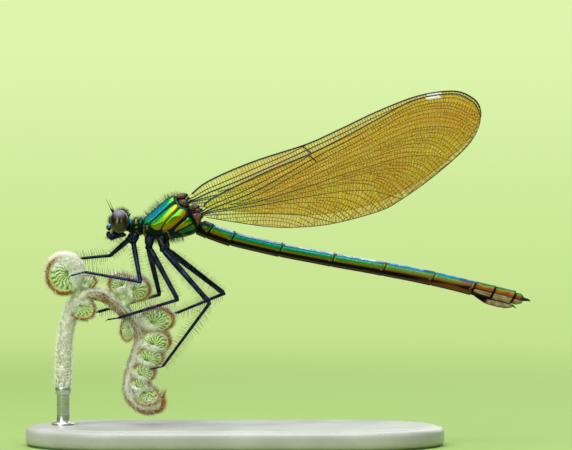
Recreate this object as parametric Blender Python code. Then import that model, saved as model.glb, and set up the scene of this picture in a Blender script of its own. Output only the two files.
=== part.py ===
"""A still, life-size model of a female beautiful demoiselle, a damselfly.

It holds on with six legs to a short cut length of curled fern stalk, which one short rod
carries above a low oval base. The head points to -X, the abdomen to +X and +Z is up. The
origin is the centre of the base's underside. Sizes and places below are in millimetres.
"""

import math

import bmesh
import bpy
from mathutils import Matrix, Vector
from mathutils.geometry import delaunay_2d_cdt

MM = 0.001
JOINT_GAP = 0.25

# The base and its rod
BASE_LENGTH = 46.0
BASE_DEPTH = 22.0
BASE_THICKNESS = 2.2
BASE_BEVEL = 0.4
ROD_RADIUS = 0.7

# The fern stalk: its centreline in X and Z, from the cut end over the arch to the curled tip
STALK_ROUTE = [
    (-18.9, 6.6),
    (-18.8, 10.0),
    (-18.5, 12.8),
    (-17.9, 14.9),
    (-16.8, 16.2),
    (-15.2, 16.6),
    (-13.4, 15.8),
    (-11.7, 14.1),
    (-10.5, 12.1),
    (-10.7, 10.1),
    (-11.5, 7.4),
    (-11.4, 5.4),
    (-10.1, 4.2),
    (-8.6, 4.3),
    (-8.3, 5.5),
]
STALK_RADIUS = 0.75
STALK_TIP_RADIUS = 0.55
STALK_SPLIT_X = -15.6

# The rolled leaflets: centre in X and Z, half length, half height and half depth
STALK_LEAFLETS = [
    (-18.75, 18.75, 2.15, 2.3, 1.1),
    (-16.7, 14.85, 1.45, 1.15, 0.85),
    (-16.15, 18.05, 1.05, 0.75, 0.6),
]
CURL_LEAFLETS = [
    (-12.6, 17.8, 1.4, 1.15, 0.85),
    (-10.6, 17.15, 1.45, 1.35, 0.95),
    (-11.85, 12.65, 0.8, 1.3, 0.65),
    (-8.5, 13.85, 2.0, 1.45, 1.1),
    (-8.7, 11.5, 1.8, 1.35, 1.1),
    (-9.3, 9.75, 1.6, 1.15, 1.0),
    (-9.95, 8.1, 1.35, 1.1, 0.95),
    (-10.4, 6.75, 1.15, 0.9, 0.85),
    (-9.6, 5.35, 1.5, 1.2, 0.75),
]
LEAFLET_SIDES = 16
LEAFLET_STEPS = (0.3, 0.6, 0.82, 0.94)
STEM_SHARE = 0.4
STEM_LARGEST = 0.5

# The head: its eyes, and its outline in X and Z around the line between the eyes' centres
EYE_CENTRE = Vector((-12.62, 2.0, 24.62))
EYE_RADII = (0.99, 1.15, 1.28)
EYE_INNER_FACE = 1.25
HEAD_HALF_WIDTH = EYE_INNER_FACE - JOINT_GAP
HEAD_OUTLINE = [
    (-0.72, 0.86),
    (-0.1, 1.1),
    (0.5, 0.85),
    (0.68, 0.1),
    (0.5, -0.75),
    (-0.15, -1.08),
    (-0.8, -1.02),
    (-1.14, -0.6),
    (-1.1, 0.1),
]
LIP_RADII = (0.42, 0.9, 0.4)
JAW_PROFILE = [
    (-14.12, 22.7, 23.1, 0.45),
    (-13.95, 22.5, 23.2, 0.7),
    (-13.5, 22.45, 23.25, 0.85),
    (-13.0, 22.5, 23.24, 0.8),
    (-12.5, 22.6, 23.2, 0.62),
    (-12.15, 22.75, 23.1, 0.4),
]
ANTENNA_RISE = 1.5
ANTENNA_ROOT_RADIUS = 0.25

# The neck and prothorax: stations along X with lowest and highest Z and half width
NECK_PROFILE = [(-11.68, 23.75, 24.6, 0.42), (-11.42, 23.7, 24.65, 0.45)]
PROTHORAX_PROFILE = [
    (-11.17, 23.1, 25.0, 0.85),
    (-10.98, 23.0, 25.12, 1.08),
    (-10.8, 23.0, 24.95, 1.12),
    (-10.6, 23.05, 25.1, 1.12),
    (-10.4, 23.15, 24.95, 1.02),
]

# The thorax: stations along X with its lowest and highest Z
THORAX_PROFILE = [
    (-10.15, 23.2, 24.75),
    (-9.8, 22.85, 25.05),
    (-9.1, 22.65, 25.6),
    (-8.4, 22.6, 26.2),
    (-7.7, 22.6, 26.8),
    (-7.05, 22.65, 27.25),
    (-6.4, 22.75, 27.4),
    (-5.7, 22.85, 27.2),
    (-5.1, 23.0, 26.5),
    (-4.55, 23.2, 25.7),
    (-4.2, 23.5, 24.9),
]
THORAX_HALF_WIDTH = 2.1
THORAX_POWER = 0.8
HINGE_TURN = math.radians(-28)

# The abdomen: its sagging axis in X and Z, then each segment's length and how far it
# reaches above and below that axis
ABDOMEN_AXIS = [
    (-3.88, 23.97),
    (-2.2, 23.3),
    (0.0, 22.6),
    (5.0, 21.45),
    (10.8, 20.35),
    (16.4, 19.35),
    (21.7, 18.3),
    (26.1, 17.25),
    (31.7, 15.85),
]
SEGMENTS = [
    (1.2, 0.9, 0.92),
    (2.6, 0.88, 0.88),
    (5.4, 0.8, 0.8),
    (5.8, 0.78, 0.78),
    (5.7, 0.79, 0.79),
    (5.4, 0.8, 0.8),
    (4.5, 0.8, 0.8),
    (2.2, 0.86, 0.68),
    (2.3, 0.86, 0.6),
    (1.1, 0.72, 0.6),
]
CERCUS_LENGTH = 0.75
SHEATH_LENGTH = 4.6

# The wings: root, rise above level, span, distance from the middle, the hinge knuckle's radii,
# and the leading and trailing edge as distance from the root and depth from the axis
WINGS = {
    "forewing": {
        "root": Vector((-5.0, 0.0, 26.9)),
        "rise": math.radians(16.3),
        "span": 33.5,
        "plane": 0.56,
        "knuckle": (0.62, 0.42, 0.8),
        "lead": [
            (0.0, 0.42),
            (2.6, 1.45),
            (7.8, 2.12),
            (14.0, 2.32),
            (17.9, 2.85),
            (22.6, 3.6),
            (27.3, 3.98),
            (31.2, 3.4),
            (33.0, 2.1),
        ],
        "trail": [
            (33.0, -0.6),
            (30.9, -2.35),
            (26.4, -4.5),
            (21.0, -5.85),
            (16.4, -5.9),
            (12.1, -5.2),
            (7.7, -3.7),
            (4.2, -2.4),
            (0.9, -0.95),
            (0.0, -0.42),
        ],
    },
    "hindwing": {
        "root": Vector((-3.6, 0.0, 25.5)),
        "rise": math.radians(19.1),
        "span": 32.3,
        "plane": 1.52,
        "knuckle": (0.7, 0.5, 1.02),
        "lead": [
            (0.0, 0.42),
            (1.8, 1.2),
            (8.1, 1.96),
            (13.4, 2.28),
            (17.9, 2.85),
            (21.6, 3.45),
            (26.0, 4.1),
            (30.2, 3.4),
            (31.9, 2.0),
        ],
        "trail": [
            (31.95, -0.7),
            (30.0, -2.5),
            (25.6, -4.4),
            (20.7, -5.85),
            (18.0, -6.15),
            (13.0, -5.75),
            (9.1, -4.8),
            (6.2, -3.7),
            (2.8, -1.95),
            (0.0, -0.42),
        ],
    },
}
WING_THICKNESS = 0.5
WING_CLOSING = 0.08
RIDGE_HEIGHT = 0.08
RIDGE_HALF_WIDTH = 0.17

# The main veins: share of the span, and share of the depth from the leading edge
VEINS = {
    "subcosta": [(0.02, 0.28), (0.2, 0.15), (0.34, 0.07)],
    "radius": [(0.02, 0.48), (0.08, 0.37), (0.2, 0.25), (0.4, 0.1), (0.7, 0.08), (0.93, 0.1)],
    "radial_sector": [(0.12, 0.43), (0.25, 0.31), (0.4, 0.2), (0.6, 0.17), (0.8, 0.18), (0.95, 0.34)],
    "second_sector": [(0.25, 0.42), (0.42, 0.31), (0.6, 0.29), (0.78, 0.37), (0.92, 0.66)],
    "media": [(0.05, 0.55), (0.13, 0.51), (0.3, 0.45), (0.5, 0.43), (0.68, 0.54), (0.83, 0.86)],
    "cubitus": [(0.06, 0.63), (0.2, 0.57), (0.4, 0.58), (0.56, 0.73), (0.63, 0.91)],
    "anal": [(0.05, 0.77), (0.16, 0.72), (0.3, 0.79), (0.38, 0.92)],
}

# The legs: where the coxa leaves the body in X and Y, then trochanter, knee, ankle and claw
LEGS = {
    "foreleg_left": [
        (-10.95, -0.55),
        (-11.15, -0.95, 22.25),
        (-10.25, -3.3, 18.0),
        (-16.4, -1.75, 19.05),
        (-18.15, -1.45, 18.6),
    ],
    "midleg_left": [
        (-9.35, -0.85),
        (-9.4, -1.15, 21.6),
        (-6.2, -2.8, 16.05),
        (-12.8, -1.05, 14.0),
        (-14.1, -0.8, 13.8),
    ],
    "hindleg_left": [
        (-8.1, -0.9),
        (-7.95, -1.2, 21.5),
        (-2.7, -3.5, 15.7),
        (-7.9, -1.55, 8.7),
        (-9.4, -1.15, 8.35),
    ],
    "foreleg_right": [
        (-10.95, 0.6),
        (-11.8, 1.05, 22.5),
        (-13.95, 4.2, 20.8),
        (-19.2, 1.75, 20.3),
        (-20.95, 0.9, 19.3),
    ],
    "midleg_right": [
        (-9.45, 0.85),
        (-9.6, 1.2, 21.6),
        (-8.45, 3.9, 16.45),
        (-15.2, 1.35, 14.6),
        (-17.6, 1.15, 13.9),
    ],
    "hindleg_right": [
        (-8.0, 0.9),
        (-7.55, 1.2, 21.4),
        (-1.25, 3.2, 16.6),
        (-9.35, 1.45, 13.3),
        (-11.3, 1.05, 12.6),
    ],
}
COXA_RADIUS = 0.36
COXA_DROP = 0.4
FEMUR_RADIUS = 0.3
TIBIA_RADIUS = 0.25
CLAW_RADIUS = 0.13


def paint(name, colour, roughness, metallic=0.0, alpha=1.0):
    """One Principled finish, made once and then shared by its name."""
    finish = bpy.data.materials.get(name)
    if finish is None:
        finish = bpy.data.materials.new(name)
        finish.use_nodes = True
        shader = finish.node_tree.nodes["Principled BSDF"]
        shader.inputs["Base Color"].default_value = (*colour, 1.0)
        shader.inputs["Roughness"].default_value = roughness
        shader.inputs["Metallic"].default_value = metallic
        shader.inputs["Alpha"].default_value = alpha
    return finish


def green_shell():
    return paint("green_shell", (0.03, 0.25, 0.12), 0.25, 0.8)


def bronze_shell():
    return paint("bronze_shell", (0.22, 0.12, 0.05), 0.3, 0.6)


def black_leg():
    return paint("black_leg", (0.012, 0.013, 0.018), 0.35)


def brown_eye():
    return paint("brown_eye", (0.05, 0.04, 0.03), 0.1)


def amber_wing():
    return paint("amber_wing", (0.45, 0.25, 0.03), 0.4, alpha=0.7)


def fern_green():
    return paint("fern_green", (0.35, 0.5, 0.2), 0.8)


def stand_grey():
    return paint("stand_grey", (0.7, 0.7, 0.68), 0.5)


def stand_steel():
    return paint("stand_steel", (0.6, 0.6, 0.62), 0.25, 1.0)


def node_from(name, mesh, finish):
    """A named object from a bmesh in millimetres, with its faces pointing out."""
    bmesh.ops.recalc_face_normals(mesh, faces=mesh.faces)
    bmesh.ops.scale(mesh, vec=(MM, MM, MM), verts=mesh.verts)
    data = bpy.data.meshes.new(name)
    mesh.to_mesh(data)
    mesh.free()
    data.shade_smooth()
    data.set_sharp_from_angle(angle=math.radians(40))
    data.materials.append(finish)
    made = bpy.data.objects.new(name, data)
    bpy.context.scene.collection.objects.link(made)
    return made


def skin_of(rings):
    """A closed bmesh through rings of points, with a flat cap on each end."""
    mesh = bmesh.new()
    loops = [[mesh.verts.new(point) for point in ring] for ring in rings]
    sides = len(loops[0])
    for near, far in zip(loops, loops[1:]):
        for i in range(sides):
            j = (i + 1) % sides
            mesh.faces.new((near[i], near[j], far[j], far[i]))
    mesh.faces.new(loops[0])
    mesh.faces.new(loops[-1])
    return mesh


def smooth_curve(points, count):
    """That many points along a Catmull-Rom curve through the given ones."""
    points = [Vector(p) for p in points]
    ends = [2 * points[0] - points[1], *points, 2 * points[-1] - points[-2]]
    spans = len(points) - 1
    curve = []
    for step in range(count):
        place = spans * step / (count - 1)
        i = min(int(place), spans - 1)
        t = place - i
        a, b, c, d = ends[i : i + 4]
        curve.append(
            0.5
            * (
                2 * b
                + (c - a) * t
                + (2 * a - 5 * b + 4 * c - d) * t**2
                + (3 * b - a - 3 * c + d) * t**3
            )
        )
    return curve


def value_at(points, x):
    """Straight-line reading of a list of (x, value) pairs."""
    for (x0, v0), (x1, v1) in zip(points, points[1:]):
        if x <= x1:
            return v0 + (v1 - v0) * max(0.0, (x - x0) / (x1 - x0))
    return points[-1][1]


def tube_rings(path, radii, sides, first_plane=None, last_plane=None):
    """Round rings along a path. A plane, given by its normal, cuts an end at a slant."""
    path = [Vector(p) for p in path]
    last = len(path) - 1
    across = Vector((0.0, 1.0, 0.0))
    rings = []
    for i, centre in enumerate(path):
        ahead = (path[min(i + 1, last)] - centre).normalized()
        behind = (centre - path[max(i - 1, 0)]).normalized()
        along = (ahead + behind).normalized()
        across = (across - along * across.dot(along)).normalized()
        upward = across.cross(along)
        cut = {0: first_plane, last: last_plane}.get(i)
        ring = []
        for k in range(sides):
            turn = 2 * math.pi * k / sides
            offset = radii[i] * (math.cos(turn) * across + math.sin(turn) * upward)
            if cut is not None:
                offset -= along * (offset.dot(cut) / along.dot(cut))
            ring.append(centre + offset)
        rings.append(ring)
    return rings


def ellipsoid(centre, radii, sides=12, rows=7, turn=0.0):
    """A closed egg of rings stacked along its own X, turned about Y."""
    swing = Matrix.Rotation(turn, 3, "Y")
    rings = []
    for row in range(rows):
        angle = math.pi * (row + 0.35) / (rows - 0.3)
        place = -math.cos(angle) * radii[0]
        size = math.sin(angle)
        ring = []
        for k in range(sides):
            around = 2 * math.pi * k / sides
            local = Vector(
                (
                    place,
                    size * radii[1] * math.cos(around),
                    size * radii[2] * math.sin(around),
                )
            )
            ring.append(Vector(centre) + swing @ local)
        rings.append(ring)
    return skin_of(rings)


def fused(name, meshes, finish):
    """One node from several closed pieces that overlap, by a single Boolean union."""
    body = node_from(name, meshes[0], finish)
    others = bpy.data.collections.new(name + "_pieces")
    bpy.context.scene.collection.children.link(others)
    for number, mesh in enumerate(meshes[1:]):
        piece = node_from(f"{name}_piece_{number}", mesh, finish)
        bpy.context.scene.collection.objects.unlink(piece)
        others.objects.link(piece)
    union = body.modifiers.new("union", "BOOLEAN")
    union.operation = "UNION"
    union.operand_type = "COLLECTION"
    union.collection = others
    union.solver = "EXACT"
    graph = bpy.context.evaluated_depsgraph_get()
    joined = bpy.data.meshes.new_from_object(body.evaluated_get(graph))
    body.modifiers.clear()
    body.data = joined
    for piece in list(others.objects):
        bpy.data.objects.remove(piece)
    bpy.data.collections.remove(others)
    keep_largest(joined)
    return body


def keep_largest(data):
    """Drops every closed surface of a mesh but the largest."""
    mesh = bmesh.new()
    mesh.from_mesh(data)
    left = set(mesh.verts)
    groups = []
    while left:
        group, front = set(), [left.pop()]
        while front:
            point = front.pop()
            group.add(point)
            for edge in point.link_edges:
                other = edge.other_vert(point)
                if other in left:
                    left.remove(other)
                    front.append(other)
        groups.append(group)
    groups.sort(key=len, reverse=True)
    spare = [point for group in groups[1:] for point in group]
    bmesh.ops.delete(mesh, geom=spare, context="VERTS")
    mesh.to_mesh(data)
    mesh.free()


def build_stand():
    """The low oval base and the short rod that carries the stalk."""
    rows = [
        (0.0, BASE_BEVEL),
        (BASE_BEVEL, 0.0),
        (BASE_THICKNESS - BASE_BEVEL, 0.0),
        (BASE_THICKNESS, BASE_BEVEL),
    ]
    corner = BASE_DEPTH / 2
    straight = BASE_LENGTH / 2 - corner
    steps = 14
    rings = []
    for height, inset in rows:
        ring = []
        for side in (1, -1):
            for k in range(steps + 1):
                turn = math.pi * (k / steps - 0.5)
                reach = corner - inset
                ring.append(
                    Vector(
                        (
                            side * (straight + reach * math.cos(turn)),
                            side * reach * math.sin(turn),
                            height,
                        )
                    )
                )
        rings.append(ring)
    node_from("stand_base", skin_of(rings), stand_grey())
    foot = STALK_ROUTE[0][0]
    bottom = BASE_THICKNESS + JOINT_GAP
    top = STALK_ROUTE[0][1] - JOINT_GAP
    rod = tube_rings(
        [(foot, 0, bottom), (foot, 0, top)], [ROD_RADIUS, ROD_RADIUS], 16
    )
    node_from("stand_rod", skin_of(rod), stand_steel())


def leaflet(line, shape):
    """A rolled-up leaflet: a plump shell on a short stem from the nearest point of the stalk."""
    x, z, length, height, depth = shape
    middle = Vector((x, 0.0, z))
    root = min(line, key=lambda point: (point - middle).length)
    thick = min(STEM_LARGEST, STEM_SHARE * min(length, height))
    stem = tube_rings([root, root.lerp(middle, 0.5), middle], [thick, thick, thick], 8)
    rings = []
    for side, steps in ((-1, (*LEAFLET_STEPS, 1.0)), (1, reversed(LEAFLET_STEPS))):
        for reach in steps:
            out = side * depth * math.sqrt(1 - reach**6) * (1 - 0.2 * reach**2)
            ring = []
            for k in range(LEAFLET_SIDES):
                turn = 2 * math.pi * k / LEAFLET_SIDES
                across = length * reach * math.cos(turn)
                ring.append(middle + Vector((across, out, height * reach * math.sin(turn))))
            rings.append(ring)
    return [skin_of(stem), skin_of(rings)]


def build_perch():
    """The arched fern stalk in two lengths, each with its rolled leaflets."""
    line = smooth_curve([(x, 0.0, z) for x, z in STALK_ROUTE], 43)
    split = next(i for i, point in enumerate(line) if point.x > STALK_SPLIT_X)
    slim = (STALK_TIP_RADIUS - STALK_RADIUS) / (len(line) - 1)
    radii = [STALK_RADIUS + slim * i for i in range(len(line))]
    rise, curl = line[: split + 1], line[split:]
    cut = (curl[1] - curl[0]).normalized()
    rise[-1] = rise[-1] - cut * JOINT_GAP
    pieces = [skin_of(tube_rings(rise, radii[: split + 1], 10, None, cut))]
    for shape in STALK_LEAFLETS:
        pieces += leaflet(rise[:-2], shape)
    fused("perch_stalk", pieces, fern_green())
    pieces = [skin_of(tube_rings(curl, radii[split:], 10, cut))]
    for shape in CURL_LEAFLETS:
        pieces += leaflet(curl[3:], shape)
    fused("perch_curl", pieces, fern_green())


def build_head():
    """The wide head between the eyes with its front lip, and the jaws below the mouth line."""
    loop = [Vector(p) for p in (*HEAD_OUTLINE, HEAD_OUTLINE[0])]
    outline = smooth_curve(loop, 28)[:-1]
    stations = 9
    rings = []
    for row in range(stations):
        place = -1 + 2 * row / (stations - 1)
        swell = math.sqrt(1 - 0.3 * place**2)
        rings.append(
            [
                Vector(
                    (
                        EYE_CENTRE.x + swell * point.x,
                        place * HEAD_HALF_WIDTH,
                        EYE_CENTRE.z + swell * point.y,
                    )
                )
                for point in outline
            ]
        )
    brow, lip_height = HEAD_OUTLINE[-1][0], HEAD_OUTLINE[-2][1]
    lip_centre = (EYE_CENTRE.x + brow, 0.0, EYE_CENTRE.z + lip_height)
    lip = ellipsoid(lip_centre, LIP_RADII, 14, 8)
    fused("head", [skin_of(rings), lip], green_shell())
    node_from("mouthparts", skin_of(egg_rings(JAW_PROFILE, 14, 0.1)), black_leg())


def build_eye(side, name):
    """A bulging eye, flat where it faces the head."""
    rows = 9
    inner = (EYE_CENTRE.y - EYE_INNER_FACE) / EYE_RADII[1]
    first = math.asin(inner)
    rings = []
    for row in range(rows):
        angle = -first + (math.radians(86) + first) * row / (rows - 1)
        reach = math.cos(angle)
        ring = []
        for k in range(24):
            turn = 2 * math.pi * k / 24
            ring.append(
                Vector(
                    (
                        EYE_CENTRE.x + EYE_RADII[0] * reach * math.cos(turn),
                        side * (EYE_CENTRE.y + EYE_RADII[1] * math.sin(angle)),
                        EYE_CENTRE.z + EYE_RADII[2] * reach * math.sin(turn),
                    )
                )
            )
        rings.append(ring)
    node_from(name, skin_of(rings), brown_eye())


def build_antenna(side, name):
    """A short bristle-like feeler that leans forward from the brow."""
    out = Vector((-0.55, side * 0.1, 0.85)).normalized()
    brow_x, brow_z = HEAD_OUTLINE[0]
    brow = EYE_CENTRE + Vector((brow_x, side * 0.5 - EYE_CENTRE.y, brow_z))
    root = brow + out * JOINT_GAP
    path = [
        root,
        root + out * 0.3,
        root + Vector((-0.22, side * 0.14, ANTENNA_RISE * 0.45)),
        root + Vector((-0.6, side * 0.3, ANTENNA_RISE)),
    ]
    radii = [ANTENNA_ROOT_RADIUS, ANTENNA_ROOT_RADIUS * 0.92, 0.15, 0.07]
    node_from(name, skin_of(tube_rings(path, radii, 8)), black_leg())


def egg_rings(stations, sides, top_narrowing, power=1.0):
    """Egg-shaped upright rings from (x, low z, high z, half width) stations."""
    rings = []
    for x, low, high, half_width in stations:
        ring = []
        for k in range(sides):
            turn = 2 * math.pi * k / sides
            rise = math.sin(turn)
            narrow = 1 - top_narrowing * max(0.0, rise)
            out = math.copysign(abs(math.cos(turn)) ** power, math.cos(turn))
            height = (low + high + rise * (high - low)) / 2
            ring.append(Vector((x, half_width * narrow * out, height)))
        rings.append(ring)
    return rings


def thorax_stations():
    """The thorax profile with a half width at each station, widest a little behind its middle."""
    first, last = THORAX_PROFILE[0][0], THORAX_PROFILE[-1][0]
    stations = []
    for x, low, high in THORAX_PROFILE:
        share = (x - first) / (last - first)
        width = THORAX_HALF_WIDTH * math.sin(math.pi * (0.17 + 0.68 * share)) ** 0.55
        stations.append((x, low, high, width))
    return stations


def underside(stations, power, x, y):
    """The point of a body's belly at a given X and Y."""
    low = value_at([(s[0], s[1]) for s in stations], x)
    high = value_at([(s[0], s[2]) for s in stations], x)
    half_width = value_at([(s[0], s[3]) for s in stations], x)
    out = (abs(y) / half_width) ** (1 / power)
    return Vector((x, y, (low + high - math.sqrt(1 - out**2) * (high - low)) / 2))


def build_thorax():
    """The neck, the prothorax, and the slanting thorax with the knuckles that bear the wings."""
    node_from("neck", skin_of(egg_rings(NECK_PROFILE, 12, 0.0)), black_leg())
    node_from("prothorax", skin_of(egg_rings(PROTHORAX_PROFILE, 16, 0.2)), green_shell())
    block = skin_of(egg_rings(thorax_stations(), 28, 0.5, THORAX_POWER))
    knuckles = []
    for shape in WINGS.values():
        rise = shape["rise"]
        long, wide, tall = shape["knuckle"]
        lean = rise + HINGE_TURN
        reach = math.hypot(long * math.cos(lean), tall * math.sin(lean)) + JOINT_GAP
        centre = shape["root"] - Vector((math.cos(rise), 0.0, math.sin(rise))) * reach
        for side in (1, -1):
            centre.y = side * shape["plane"] * 0.92
            knuckles.append(ellipsoid(centre, (long, wide, tall), 12, 8, HINGE_TURN))
    fused("thorax", [block, *knuckles], green_shell())


def build_abdomen():
    """Ten segments along one sagging axis, each flared a little at its rear end."""
    axis = smooth_curve([(x, 0.0, z) for x, z in ABDOMEN_AXIS], 400)
    lengths = [0.0]
    for near, far in zip(axis, axis[1:]):
        lengths.append(lengths[-1] + (far - near).length)

    def at(distance):
        """Point and direction on the axis at a distance from its front end."""
        i = max(k for k, reached in enumerate(lengths[:-1]) if reached <= distance + 1e-9)
        along = (axis[i + 1] - axis[i]).normalized()
        return axis[i] + along * (distance - lengths[i]), along

    stretch = (lengths[-1] - 0.05) / sum(segment[0] for segment in SEGMENTS)
    start = 0.0
    for number, (length, above, below) in enumerate(SEGMENTS, 1):
        end = start + length * stretch
        rings = []
        for share, flare in ((0.0, 0.93), (0.08, 0.99), (0.5, 0.97), (0.88, 1.0), (1.0, 1.04)):
            near, far = start + JOINT_GAP / 2, end - JOINT_GAP / 2
            centre, along = at(near + (far - near) * share)
            if number == len(SEGMENTS):
                flare -= 0.2 * share
            rings.append(tail_ring(centre, along, above * flare, below * flare, 16))
        finish = green_shell() if number < 8 else bronze_shell()
        node_from(f"abdomen_segment_{number:02d}", skin_of(rings), finish)
        start = end
    build_tail_parts(at, start)


def tail_ring(centre, along, above, below, sides, breadth=0.96):
    """A ring across the abdomen's axis, with its own reach above and below the axis."""
    upward = along.cross(Vector((0.0, 1.0, 0.0))).normalized()
    half_width = (above + below) / 2 * breadth
    ring = []
    for k in range(sides):
        turn = 2 * math.pi * k / sides
        rise = math.sin(turn) * (above if math.sin(turn) > 0 else below)
        ring.append(centre + Vector((0.0, half_width * math.cos(turn), 0.0)) + upward * rise)
    return ring


def build_tail_parts(at, end):
    """The two short cerci on the last segment and the egg-laying sheath under segments 8 to 10."""
    tip, along = at(end - 0.02)
    for side, name in ((-1, "cercus_left"), (1, "cercus_right")):
        root = tip + along * JOINT_GAP + Vector((0.0, side * 0.36, 0.2))
        path = [
            root,
            root + along * CERCUS_LENGTH * 0.5 + Vector((0.0, side * 0.06, 0.04)),
            root + along * CERCUS_LENGTH + Vector((0.0, side * 0.02, -0.04)),
        ]
        node_from(name, skin_of(tube_rings(path, [0.25, 0.2, 0.09], 8)), black_leg())
    sheath_start = end - SHEATH_LENGTH - 0.1
    rings = []
    for share, half in ((0.0, 0.1), (0.2, 0.22), (0.5, 0.3), (0.8, 0.26), (1.0, 0.1)):
        centre, forward = at(sheath_start + SHEATH_LENGTH * share)
        upward = forward.cross(Vector((0.0, 1.0, 0.0))).normalized()
        belly = SEGMENTS[7][2] + (SEGMENTS[8][2] - SEGMENTS[7][2]) * min(1.0, 1.6 * share)
        drop = belly * 1.05 + JOINT_GAP + half
        rings.append(tail_ring(centre - upward * drop, forward, half, half, 12, 1.5))
    node_from("ovipositor", skin_of(rings), bronze_shell())


def wing_outline(shape):
    """Leading edge from root to tip, then trailing edge back, in the wing's own plane."""
    span = shape["span"]
    lead = [Vector((u, v)) for u, v in shape["lead"]]
    trail = [Vector((u, v)) for u, v in shape["trail"]]
    whole = smooth_curve([*lead, Vector((span, 0.75)), *trail], 62)
    tip = max(range(len(whole)), key=lambda i: whole[i].x)
    return whole, tip


def distance_to(point, line):
    """How far a point of the wing's plane is from a polyline."""
    best = 1e9
    for near, far in zip(line, line[1:]):
        step = far - near
        t = max(0.0, min(1.0, (point - near).dot(step) / max(step.length_squared, 1e-12)))
        best = min(best, (point - near - step * t).length)
    return best


def wing_veins(outline, tip):
    """The main veins as lines in the wing's plane, laid between the two edges."""
    lead = [(p.x, p.y) for p in outline[: tip + 1]]
    trail = [(p.x, p.y) for p in reversed(outline[tip:])]
    span = lead[-1][0]
    lines = {"costa": [p.copy() for p in outline[1 : tip - 2]]}
    for name, marks in VEINS.items():
        line = []
        for share, depth in smooth_curve([Vector(m) for m in marks], 11):
            u = share * span
            high, low = value_at(lead, u), value_at(trail, u)
            line.append(Vector((u, high + (low - high) * depth)))
        lines[name] = line
    return lines


def ridge_at(point, lines):
    """Height of the vein ridges over the membrane at a point."""
    nearest = min(distance_to(point, line) for line in lines.values())
    return RIDGE_HEIGHT * max(0.0, 1.0 - nearest / RIDGE_HALF_WIDTH)


def beside(line, offset):
    """A line moved sideways in the wing's plane."""
    moved = []
    for i, point in enumerate(line):
        along = (line[min(i + 1, len(line) - 1)] - line[max(i - 1, 0)]).normalized()
        moved.append(point + Vector((-along.y, along.x)) * offset)
    return moved


def build_wing(kind, side, name):
    """A thin wing whose main veins are raised in both of its faces."""
    shape = WINGS[kind]
    outline, tip = wing_outline(shape)
    veins = wing_veins(outline, tip)
    points = list(outline)
    edges = []

    def add_line(line):
        first = len(points)
        points.extend(line)
        edges.extend((first + i, first + i + 1) for i in range(len(line) - 1))

    for label, line in veins.items():
        if label == "costa":
            add_line(beside(line, -RIDGE_HALF_WIDTH))
            continue
        for offset in (-RIDGE_HALF_WIDTH, 0.0, RIDGE_HALF_WIDTH):
            add_line(beside(line, offset))
    border = list(range(len(outline)))
    flat, _, triangles, *_ = delaunay_2d_cdt(points, edges, [border], 1, 0.02)
    rise = shape["rise"]
    mesh = bmesh.new()
    faces_of = []
    for face in (-1, 1):
        verts = []
        for p in flat:
            half = WING_THICKNESS / 2 + ridge_at(p, veins)
            bow = shape["plane"] * (1 - WING_CLOSING * p.x / shape["span"])
            root = shape["root"]
            verts.append(
                mesh.verts.new(
                    (
                        root.x + p.x * math.cos(rise) - p.y * math.sin(rise),
                        side * bow + face * half,
                        root.z + p.x * math.sin(rise) + p.y * math.cos(rise),
                    )
                )
            )
        faces_of.append(verts)
    sides_of = set()
    for corners in triangles:
        for verts in faces_of:
            mesh.faces.new([verts[i] for i in corners])
        sides_of.update(zip(corners, [*corners[1:], corners[0]]))
    for i, j in sorted(sides_of):
        if (j, i) not in sides_of:
            mesh.faces.new((faces_of[0][i], faces_of[0][j], faces_of[1][j], faces_of[1][i]))
    node_from(name, mesh, amber_wing())


def build_leg(name):
    """Coxa, trochanter and femur in one node, then tibia with its foot in another."""
    (x, y), trochanter, knee, ankle, claw = (Vector(p) for p in LEGS[name])
    fore = name.startswith("foreleg")
    stations = PROTHORAX_PROFILE if fore else thorax_stations()
    power = 1.0 if fore else THORAX_POWER
    belly = underside(stations, power, x, y)
    step = 0.1
    slope_x = underside(stations, power, x + step, y) - belly
    slope_y = underside(stations, power, x, y + step) - belly
    down = slope_y.cross(slope_x).normalized()
    hip = belly + down * JOINT_GAP
    thigh = (knee - trochanter).normalized()
    shin = (ankle - knee).normalized()
    opening = math.acos((-thigh).dot(shin))
    if opening < math.radians(115):
        femur_end = knee + thigh * TIBIA_RADIUS
        femur_plane = thigh
        shin_start = knee + shin * (FEMUR_RADIUS + JOINT_GAP) / math.sin(opening)
        shin_plane = (shin - thigh * shin.dot(thigh)).normalized()
    else:
        slack = JOINT_GAP / 2 / math.sin(opening / 2)
        femur_end = knee - thigh * slack
        femur_plane = shin_plane = (thigh + shin).normalized()
        shin_start = knee + shin * slack
    path = [
        hip,
        hip + down * COXA_DROP,
        trochanter,
        trochanter.lerp(knee, 0.12),
        trochanter.lerp(knee, 0.35),
        femur_end,
    ]
    radii = [COXA_RADIUS, COXA_RADIUS * 0.92, 0.3, 0.27, FEMUR_RADIUS, FEMUR_RADIUS * 0.95]
    rings = tube_rings(path, radii, 8, None, femur_plane)
    node_from(f"{name}_femur", skin_of(rings), black_leg())
    foot = ankle.lerp(claw, 0.85)
    path = [shin_start, knee.lerp(ankle, 0.5), ankle, foot, claw]
    radii = [TIBIA_RADIUS, TIBIA_RADIUS, TIBIA_RADIUS, 0.2, CLAW_RADIUS]
    rings = tube_rings(path, radii, 8, shin_plane, None)
    node_from(f"{name}_tibia", skin_of(rings), black_leg())


def build():
    for old in list(bpy.data.objects):
        bpy.data.objects.remove(old)
    build_stand()
    build_perch()
    build_head()
    for side, label in ((-1, "left"), (1, "right")):
        build_eye(side, f"eye_{label}")
        build_antenna(side, f"antenna_{label}")
        build_wing("forewing", side, f"forewing_{label}")
        build_wing("hindwing", side, f"hindwing_{label}")
    build_thorax()
    build_abdomen()
    for name in LEGS:
        build_leg(name)


build()
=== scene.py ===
import math

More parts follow.
